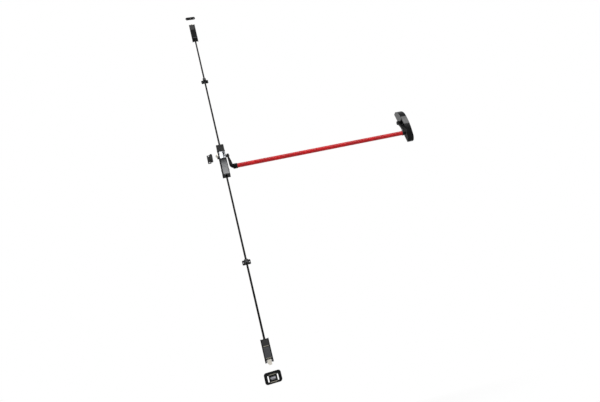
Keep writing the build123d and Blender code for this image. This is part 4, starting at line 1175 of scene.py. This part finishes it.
@dataclass
class RodRun:
    """One rod with its guide, its bolt case and its bolt.

    Attributes:
        name: upper or lower, the first word of its nodes' names.
        guide_height: Height of the guide.
        rod: Finish of the rod.
        cap: Finish of the case's cap.
        panel: Finish of its raised panel.
        rod_end: Height of the plate where the rod enters the case.
        bolt_end: Height of the plate where the bolt leaves it.
        coil: The bolt's spring.
        highlight_lines: Height of each light line on the front, a painted highlight of an edge, its
            distance from the door and its finish.
        rod_hole: Diameter of the hole for the rod.
        bolt_size: Width and depth of the hole for the bolt.
        end_sheet: Thickness of both end plates.
        end_corner: Radius of their corners.
        half_room: Half the width of the room inside the case.
        room: Front and back of that room along Y.
        highlight_line_half: Half the length and half the height of a highlight line.
        highlight_line_thick: Thickness of a highlight line.
        ear_pitch: Distance between the guide's two screw holes.
        ear_front: Distance of the ears' front from the door.
        eyelet: Depth and width of an eyelet's section, how far its middle stands out, and its radius.
    """

    name: str
    guide_height: float
    rod: str
    cap: str
    panel: str
    rod_end: float
    bolt_end: float
    coil: Coil
    highlight_lines: Tuple[Tuple[float, float, str], ...]
    rod_hole: float = 10.0 * MM
    bolt_size: Pair = (12.8 * MM, 12.8 * MM)
    end_sheet: float = 1.8 * MM
    end_corner: float = 1.5 * MM
    half_room: float = 14.7 * MM
    room: Pair = (-24.6 * MM, -2.6 * MM)
    highlight_line_half: Pair = (11 * MM, 1.3 * MM)
    highlight_line_thick: float = 0.8 * MM
    ear_pitch: float = 28 * MM
    ear_front: float = 4 * MM
    eyelet: Tuple[float, float, float, float] = (0.4 * MM, 0.6 * MM, 0.1 * MM, 2.6 * MM)

    def ear_eyelet(self, side: float, word: str) -> Piece:
        """Pressed steel eyelet in one of the guide's screw holes.

        Args:
            side: -1 for the left ear, 1 for the right.
            word: Name of the ear.

        Returns:
            The eyelet.
        """
        origin = (side * self.ear_pitch / 2, -self.ear_front, self.guide_height)
        section = oval(*self.eyelet[:2]) + np.array(self.eyelet[2:])
        return turned(f"{self.name}_guide_{word}_eyelet", origin, OUTWARD, section, steps=32)

    def end_plate(self, word: str, height: float, hole: np.ndarray) -> Piece:
        """Plate that closes one end of the case round the rod or the bolt.

        Args:
            word: rod or bolt.
            height: Height of the plate's middle.
            hole: Points of its hole about the rod's axis.

        Returns:
            The plate.
        """
        middle, half_depth = sum(self.room) / 2, (self.room[1] - self.room[0]) / 2
        rim, _ = loop(self.half_room, half_depth, self.end_corner, len(hole))
        shifted = hole + np.array([0.0, -ROD_OUT - middle])
        return plate(f"{self.name}_{word}_end_plate", (0, middle, height), rim, shifted, self.end_sheet)

    def bolt_hole(self) -> np.ndarray:
        """Points of the hole for the round bolt."""
        return oval(*self.bolt_size, steps=64)

    def highlight_line(self, count: int, height: float, front: float) -> Piece:
        """Light strip across the front of the case, a painted highlight of an edge.

        Args:
            count: Its number in the run.
            height: Height of its middle.
            front: Distance of its front from the door.

        Returns:
            The line.
        """
        half_long, half_high = self.highlight_line_half
        low = (-half_long, -front, height - half_high)
        high = (half_long, -front + self.highlight_line_thick, height + half_high)
        return cushion(f"{self.name}_case_highlight_line_{count}", low, high)

    def build(self, shop: Workshop) -> None:
        """Dresses the run's nodes and adds the plates, eyelets and painted highlight lines."""
        shop.dress(self.rod, f"{self.name}_rod")
        shop.dress("nickel_bolt", f"{self.name}_bolt")
        shop.dress("black_paint", f"{self.name}_case_base")
        # The guide's lighter saddle is a painted highlight.
        shop.dress("guide_saddle", f"{self.name}_guide")
        shop.dress(self.cap, f"{self.name}_case_cap")
        shop.dress(self.panel, f"{self.name}_case_panel")
        shop.dress("nylon", f"{self.name}_bolt_guide")
        shop.wind(f"{self.name}_bolt_spring", self.coil)
        rod_hole = oval(self.rod_hole, self.rod_hole, steps=64)
        shop.mount(self.end_plate("rod", self.rod_end, rod_hole), BLACK_PART)
        shop.mount(self.end_plate("bolt", self.bolt_end, self.bolt_hole()), BLACK_PART)
        for side, word in ((-1.0, "left"), (1.0, "right")):
            shop.mount(self.ear_eyelet(side, word), DARK_PART)
        # Light lines across the case's front are painted highlights of its edges.
        for count, (height, front, finish) in enumerate(self.highlight_lines, 1):
            shop.mount(self.highlight_line(count, height, front), Place(finish, "bright_steel"))


@dataclass
class LowerRun(RodRun):
    """The lower run, whose flat bolt stands between two feet.

    Attributes:
        bolt_size: Width and depth of the hole for the flat bolt.
        bolt_corner: Radius of that hole's corners.
        foot: Inner and outer side of a foot, and its lower and upper end.
    """

    bolt_size: Pair = (18.2 * MM, 13.2 * MM)
    bolt_corner: float = 0.8 * MM
    foot: Tuple[float, float, float, float] = (9.6 * MM, 14.8 * MM, -1007.6 * MM, -997.9 * MM)

    def bolt_hole(self) -> np.ndarray:
        """Points of the hole for the flat bolt."""
        return loop(self.bolt_size[0] / 2, self.bolt_size[1] / 2, self.bolt_corner)[0]

    def build(self, shop: Workshop) -> None:
        """Adds the feet to what every run has."""
        super().build(shop)
        inner, outer, low, high = self.foot
        for side, word in ((-1, "left"), (1, "right")):
            near, far = sorted((side * inner, side * outer))
            first, last = (near, self.room[0], low), (far, self.room[1], high)
            shop.mount(cushion(f"lower_case_{word}_foot", first, last), Place("nylon", "nylon"))


@dataclass
class EndSupport:
    """Arched cover at the bar's far end with its plate, bearing block and bush.

    Attributes:
        middle: Middle of the cover's foot as x and z.
        half_size: Half the width and half the height of the foot.
        left: Place along X of the cover's left side.
        gasket_size: Width and thickness of the gasket.
        gasket_inset: Distance of its middle line inside the foot's outline.
        gasket_corner: Radius of that line's corners.
        gasket_out: Distance of that line from the door.
        throat_size: Length and thickness of the rim where the shaft enters.
        throat_radius: Radius of that rim's middle line.
    """

    middle: Pair = (994 * MM, -25 * MM)
    half_size: Pair = (17 * MM, 97 * MM)
    left: float = 977 * MM
    gasket_size: Pair = (2.2 * MM, 0.7 * MM)
    gasket_inset: float = 1.25 * MM
    gasket_corner: float = 0.8 * MM
    gasket_out: float = 0.35 * MM
    throat_size: Pair = (0.9 * MM, 1.1 * MM)
    throat_radius: float = 8.1 * MM

    def gasket(self) -> Piece:
        """Soft gasket between the cover's open back and the door."""
        half_width, half_height = (half - self.gasket_inset for half in self.half_size)
        path = loop(half_width, half_height, self.gasket_corner, steps=96)
        centre = (self.middle[0], -self.gasket_out, self.middle[1])
        return bead("end_cover_gasket", centre, BARWARD, UPWARD, path, oval(*self.gasket_size, power=3.0))

    def throat(self) -> Piece:
        """Rolled rim where the shaft enters the cover."""
        section = oval(*self.throat_size) + np.array([0.0, self.throat_radius])
        return turned("end_cover_throat", (self.left, -ROD_OUT, 0), BARWARD, section)

    def build(self, shop: Workshop) -> None:
        """Dresses the support and adds its gasket and throat."""
        shop.dress("arch_lid", "end_cover")
        shop.dress("plate_steel", "end_base_plate")
        shop.dress("dark_steel", "end_block", "end_cover_screws")
        shop.dress("bush", "end_bush")
        shop.mount(self.gasket(), RUBBER_PART)
        shop.mount(self.throat(), BLACK_PART)


@dataclass
class Strikes:
    """The three keeps: oval plate above, rounded keep beside the lock, recessed frame below.

    Attributes:
        top_height: Height of the oval plate's underside.
        lip_size: Depth and width of the dust seal's section.
        lip_middle: Its middle above the underside, and its radius.
        side: Place of the side keep's screw holes along X, their middle height and their pitch.
        side_front: Distance of its screw flange's front from the door.
        eyelet: Depth and width of an eyelet's section, how far its middle stands out, and its radius.
        floor: Height of the floor keep's recess, its recess floor along Y and its slot pitch.
        slot: Half the width and half the height of a slot's rim, and the radius of its corners.
        rim: Diameter of the round section of a slot's rim.
        strip_lift: Distance of each wear strip's middle line from the recess's middle.
        strip_half: Half the length and half the height of a wear strip.
        strip_depths: How far a wear strip stands out of the recess floor, and how far it goes in.
    """

    top_height: float = 1058 * MM
    lip_size: Pair = (0.9 * MM, 5.5 * MM)
    lip_middle: Pair = (1.5 * MM, 3.7 * MM)
    side: Triple = (-66.5 * MM, 7 * MM, 38 * MM)
    side_front: float = 4 * MM
    eyelet: Tuple[float, float, float, float] = (0.5 * MM, 0.8 * MM, 0.1 * MM, 3.0 * MM)
    floor: Triple = (-1066.4 * MM, -9 * MM, 38.2 * MM)
    slot: Triple = (2.8 * MM, 12.3 * MM, 2.75 * MM)
    rim: float = 0.5 * MM
    strip_lift: float = 13.6 * MM
    strip_half: Pair = (14.5 * MM, 1.5 * MM)
    strip_depths: Pair = (0.7 * MM, 0.2 * MM)

    def dust_seal(self) -> Piece:
        """Rubber ring in the oval plate's hole."""
        section = oval(*self.lip_size, power=4.0) + np.array(self.lip_middle)
        return turned("top_strike_dust_seal", (0, -ROD_OUT, self.top_height), UPWARD, section)

    def side_eyelet(self, side: float, word: str) -> Piece:
        """Eyelet in the side keep's lower (-1) or upper (1) screw hole."""
        x, middle, pitch = self.side
        section = oval(*self.eyelet[:2]) + np.array(self.eyelet[2:])
        origin = (x, -self.side_front, middle + side * pitch / 2)
        return turned(f"side_strike_{word}_eyelet", origin, OUTWARD, section, steps=32)

    def slot_rim(self, side: float, word: str) -> Piece:
        """Rim of the floor keep's left (-1) or right (1) slot."""
        middle, face, pitch = self.floor
        centre, section = (side * pitch / 2, face, middle), oval(self.rim, self.rim)
        return bead(f"floor_strike_{word}_rim", centre, BARWARD, UPWARD, loop(*self.slot), section)

    def wear_and_highlight_strip(self, side: float, word: str) -> Piece:
        """Wear strip above (1) or below (-1) the middle of the floor keep's recess."""
        middle, face, _ = self.floor
        half_long, half_high = self.strip_half
        height = middle + side * self.strip_lift
        low = (-half_long, face - self.strip_depths[0], height - half_high)
        high = (half_long, face + self.strip_depths[1], height + half_high)
        return cushion(f"floor_strike_{word}_wear_and_highlight_strip", low, high)

    def build(self, shop: Workshop) -> None:
        """Dresses the keeps and adds their seal, eyelets, rims and wear strips."""
        shop.dress("black_paint", "top_strike", "floor_strike")
        shop.dress("cover_black", "side_strike")
        shop.dress("keep_steel", "floor_strike_insert")
        shop.mount(self.dust_seal(), RUBBER_PART)
        for side, word in ((-1, "lower"), (1, "upper")):
            shop.mount(self.side_eyelet(side, word), BRIGHT_PART)
        for side, word in ((-1, "left"), (1, "right")):
            shop.mount(self.slot_rim(side, word), BLACK_PART)
        for side, word in ((1, "upper"), (-1, "lower")):
            shop.mount(self.wear_and_highlight_strip(side, word), Place("wear_and_highlight_strip", "bright_steel"))


@dataclass(frozen=True)
class SoftBox:
    """Rectangular area lamp.

    Attributes:
        name: Its name.
        spot: Its place.
        aim: The point that it faces.
        size: Its width and height in metres.
        power: Its power in watts.
    """

    name: str
    spot: Triple
    aim: Triple
    size: Pair
    power: float

    def build(self) -> None:
        """Hangs the lamp."""
        light = bpy.data.lights.new(self.name, "AREA")
        light.shape = "RECTANGLE"
        light.size, light.size_y = self.size
        light.energy = self.power
        box = bpy.data.objects.new(self.name, light)
        box.location = self.spot
        box.rotation_euler = (Vector(self.aim) - Vector(self.spot)).to_track_quat("-Z", "Y").to_euler()
        bpy.context.scene.collection.objects.link(box)


@dataclass
class Studio:
    """Camera, floor, world and lamps.

    Attributes:
        eye: Place of the camera.
        right: The camera's own X axis.
        up: Its Y axis.
        back: Its Z axis, opposite to its view.
        lens: Focal length in millimetres on a film 36 mm wide.
        floor_height: Height of the floor, under the lowest keep and the camera.
        floor_half: Half the side of the square floor.
        floor_thick: Thickness of the floor.
        floor_middle: Place along X of the middle of the object's shadow.
        shadow: Distances from there between which the floor changes to the plain backdrop.
        shadow_share: Share of the lit floor in what is seen inside the first of them.
        light_share: Strength of the backdrop as a source of light.
        boxes: The lamps.
    """

    eye: Triple = (-0.044368, -1.748547, -1.215315)
    right: Triple = (0.960713, -0.061406, -0.270667)
    up: Triple = (0.210273, -0.475486, 0.854224)
    back: Triple = (-0.181152, -0.877578, -0.443893)
    lens: float = 24.6
    floor_height: float = -1.32
    floor_half: float = 4.0
    floor_thick: float = 0.02
    floor_middle: float = 0.2
    shadow: Pair = (0.30, 0.80)
    shadow_share: float = 0.10
    light_share: float = 0.34
    boxes: Tuple[SoftBox, ...] = (
        SoftBox("strip_box", (1.35, -2.4, 1.11), (1.35, 0.0, 1.11), (3.5, 0.78), 60.0),
        SoftBox("far_box", (2.45, -2.4, 1.71), (2.45, 0.0, 1.71), (1.0, 0.42), 8.5),
        SoftBox("high_box", (1.35, -2.4, 2.10), (1.35, 0.0, 2.10), (1.7, 1.1), 22.0),
        SoftBox("top_box", (1.0, 0.6, 3.0), (0.5, 0.0, 0.0), (1.3, 1.3), 12.0),
        SoftBox("back_box", (1.0, 3.0, 1.2), (0.3, 0.0, 0.0), (2.0, 1.6), 16.0),
    )

    def camera(self) -> None:
        """Makes the camera that the photograph was fitted to."""
        lens = bpy.data.cameras.new("photo_camera")
        lens.lens = self.lens
        lens.sensor_width = 36.0
        lens.clip_start = 0.01
        lens.clip_end = 100.0
        camera = bpy.data.objects.new("photo_camera", lens)
        turn = Matrix((self.right, self.up, self.back)).transposed().to_4x4()
        camera.matrix_world = Matrix.Translation(self.eye) @ turn
        bpy.context.scene.collection.objects.link(camera)
        bpy.context.scene.camera = camera

    def floor(self) -> None:
        """Pale floor: a square sheet with rounded corners, as thick as a board."""
        points, _ = loop(self.floor_half, self.floor_half, self.floor_half / 10, steps=32)
        levels = (self.floor_height, self.floor_height - self.floor_thick)
        grid = np.stack([np.column_stack([points, np.full(len(points), level)]) for level in levels])
        sheet = filled("studio_floor", grid, False)
        tree = new_tree("studio_floor")
        spot = tree.place()
        tone = tree.mix(tree.noise(spot, scale=3.0), (0.93, 0.93, 0.93), (0.95, 0.95, 0.95))
        tree.feed(Base_Color=tone, Roughness=0.9, Specular_IOR_Level=0.0)
        across, deep = tree.part(spot, "X") - self.floor_middle, tree.part(spot, "Y")
        far = ((across * across + deep * deep) ** 0.5).smooth(*self.shadow)
        seen = tree.seen() * (far * self.shadow_share + (1.0 - self.shadow_share))
        glow = tree.add("ShaderNodeEmission", {}, {"Color": (1.0, 1.0, 1.0, 1.0), "Strength": 1.0})
        plain = Link(tree, tree.shader.outputs[0])
        mixed = tree.add("ShaderNodeMixShader", {}, {0: seen, 1: plain, 2: glow})
        tree.links.new(mixed.socket, tree.node("OUTPUT_MATERIAL").inputs["Surface"])
        sheet.data.materials.append(tree.owner)
        sheet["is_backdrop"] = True

    def world(self) -> None:
        """White backdrop all round, which lights the object at a lower level than it shows."""
        world = bpy.data.worlds.new("studio_world")
        bpy.context.scene.world = world
        tree = ShaderTree(world, "BACKGROUND")
        strength = tree.seen() * (1.0 - self.light_share) + self.light_share
        tree.feed(Color=(1.0, 1.0, 1.0), Strength=strength)

    def build(self) -> None:
        """Sets up the whole studio."""
        self.camera()
        self.floor()
        self.world()
        for box in self.boxes:
            box.build()
        bpy.context.scene.view_settings.view_transform = "Standard"


def upper_run() -> RodRun:
    """The upper rod, guide, bolt case and bolt."""
    coil = Coil((0, -ROD_OUT, 875 * MM), length=79 * MM, radius=6.6 * MM, wire=1.2 * MM, turns=13,
                joint="upper_rod_slide", travel=STROKE, held=0.0)
    # The dark steel line across the upper case is a painted highlight of its lower edge.
    return RodRun("upper", guide_height=533 * MM, rod="rod_grey", cap="upper_case_lid", panel="black_paint",
                  rod_end=867.5 * MM, bolt_end=990.8 * MM, coil=coil,
                  highlight_lines=((872 * MM, 28.2 * MM, "dark_steel"),))


def lower_run() -> LowerRun:
    """The lower rod, guide, bolt case and bolt."""
    coil = Coil((0, -ROD_OUT, -968 * MM), length=42 * MM, radius=6.6 * MM, wire=1.2 * MM, turns=8,
                joint="lower_rod_slide", travel=STROKE, held=42 * MM)
    # Both light lines across the lower case are painted highlights of its edges.
    highlight_lines = ((-946.5 * MM, 27.3 * MM, "wear_and_highlight_strip"), (-993.4 * MM, 28.4 * MM, "wear_and_highlight_strip"))
    return LowerRun("lower", guide_height=-574 * MM, rod="rod_black", cap="lower_case_lid",
                    panel="lower_case_front", rod_end=-918.4 * MM, bolt_end=-996.5 * MM, coil=coil,
                    highlight_lines=highlight_lines)


def corners() -> List[List[float]]:
    """Lowest and highest corner of the shown object as plain lists."""
    return [[float(value) for value in corner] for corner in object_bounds()]


def main() -> None:
    """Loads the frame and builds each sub-assembly in order."""
    logging.basicConfig(level=logging.INFO, format="%(name)s: %(message)s")
    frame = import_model()
    shop = Workshop(frame, Shelf())
    for assembly in (PushBar(), LockBody(), SideLatch(), upper_run(), lower_run(), EndSupport(), Strikes()):
        LOG.info("building %s", type(assembly).__name__)
        assembly.build(shop)
    shop.dress("nylon", "guide_liners", "rod_bushes")
    Studio().build()


if __name__ == "__main__":
    main()
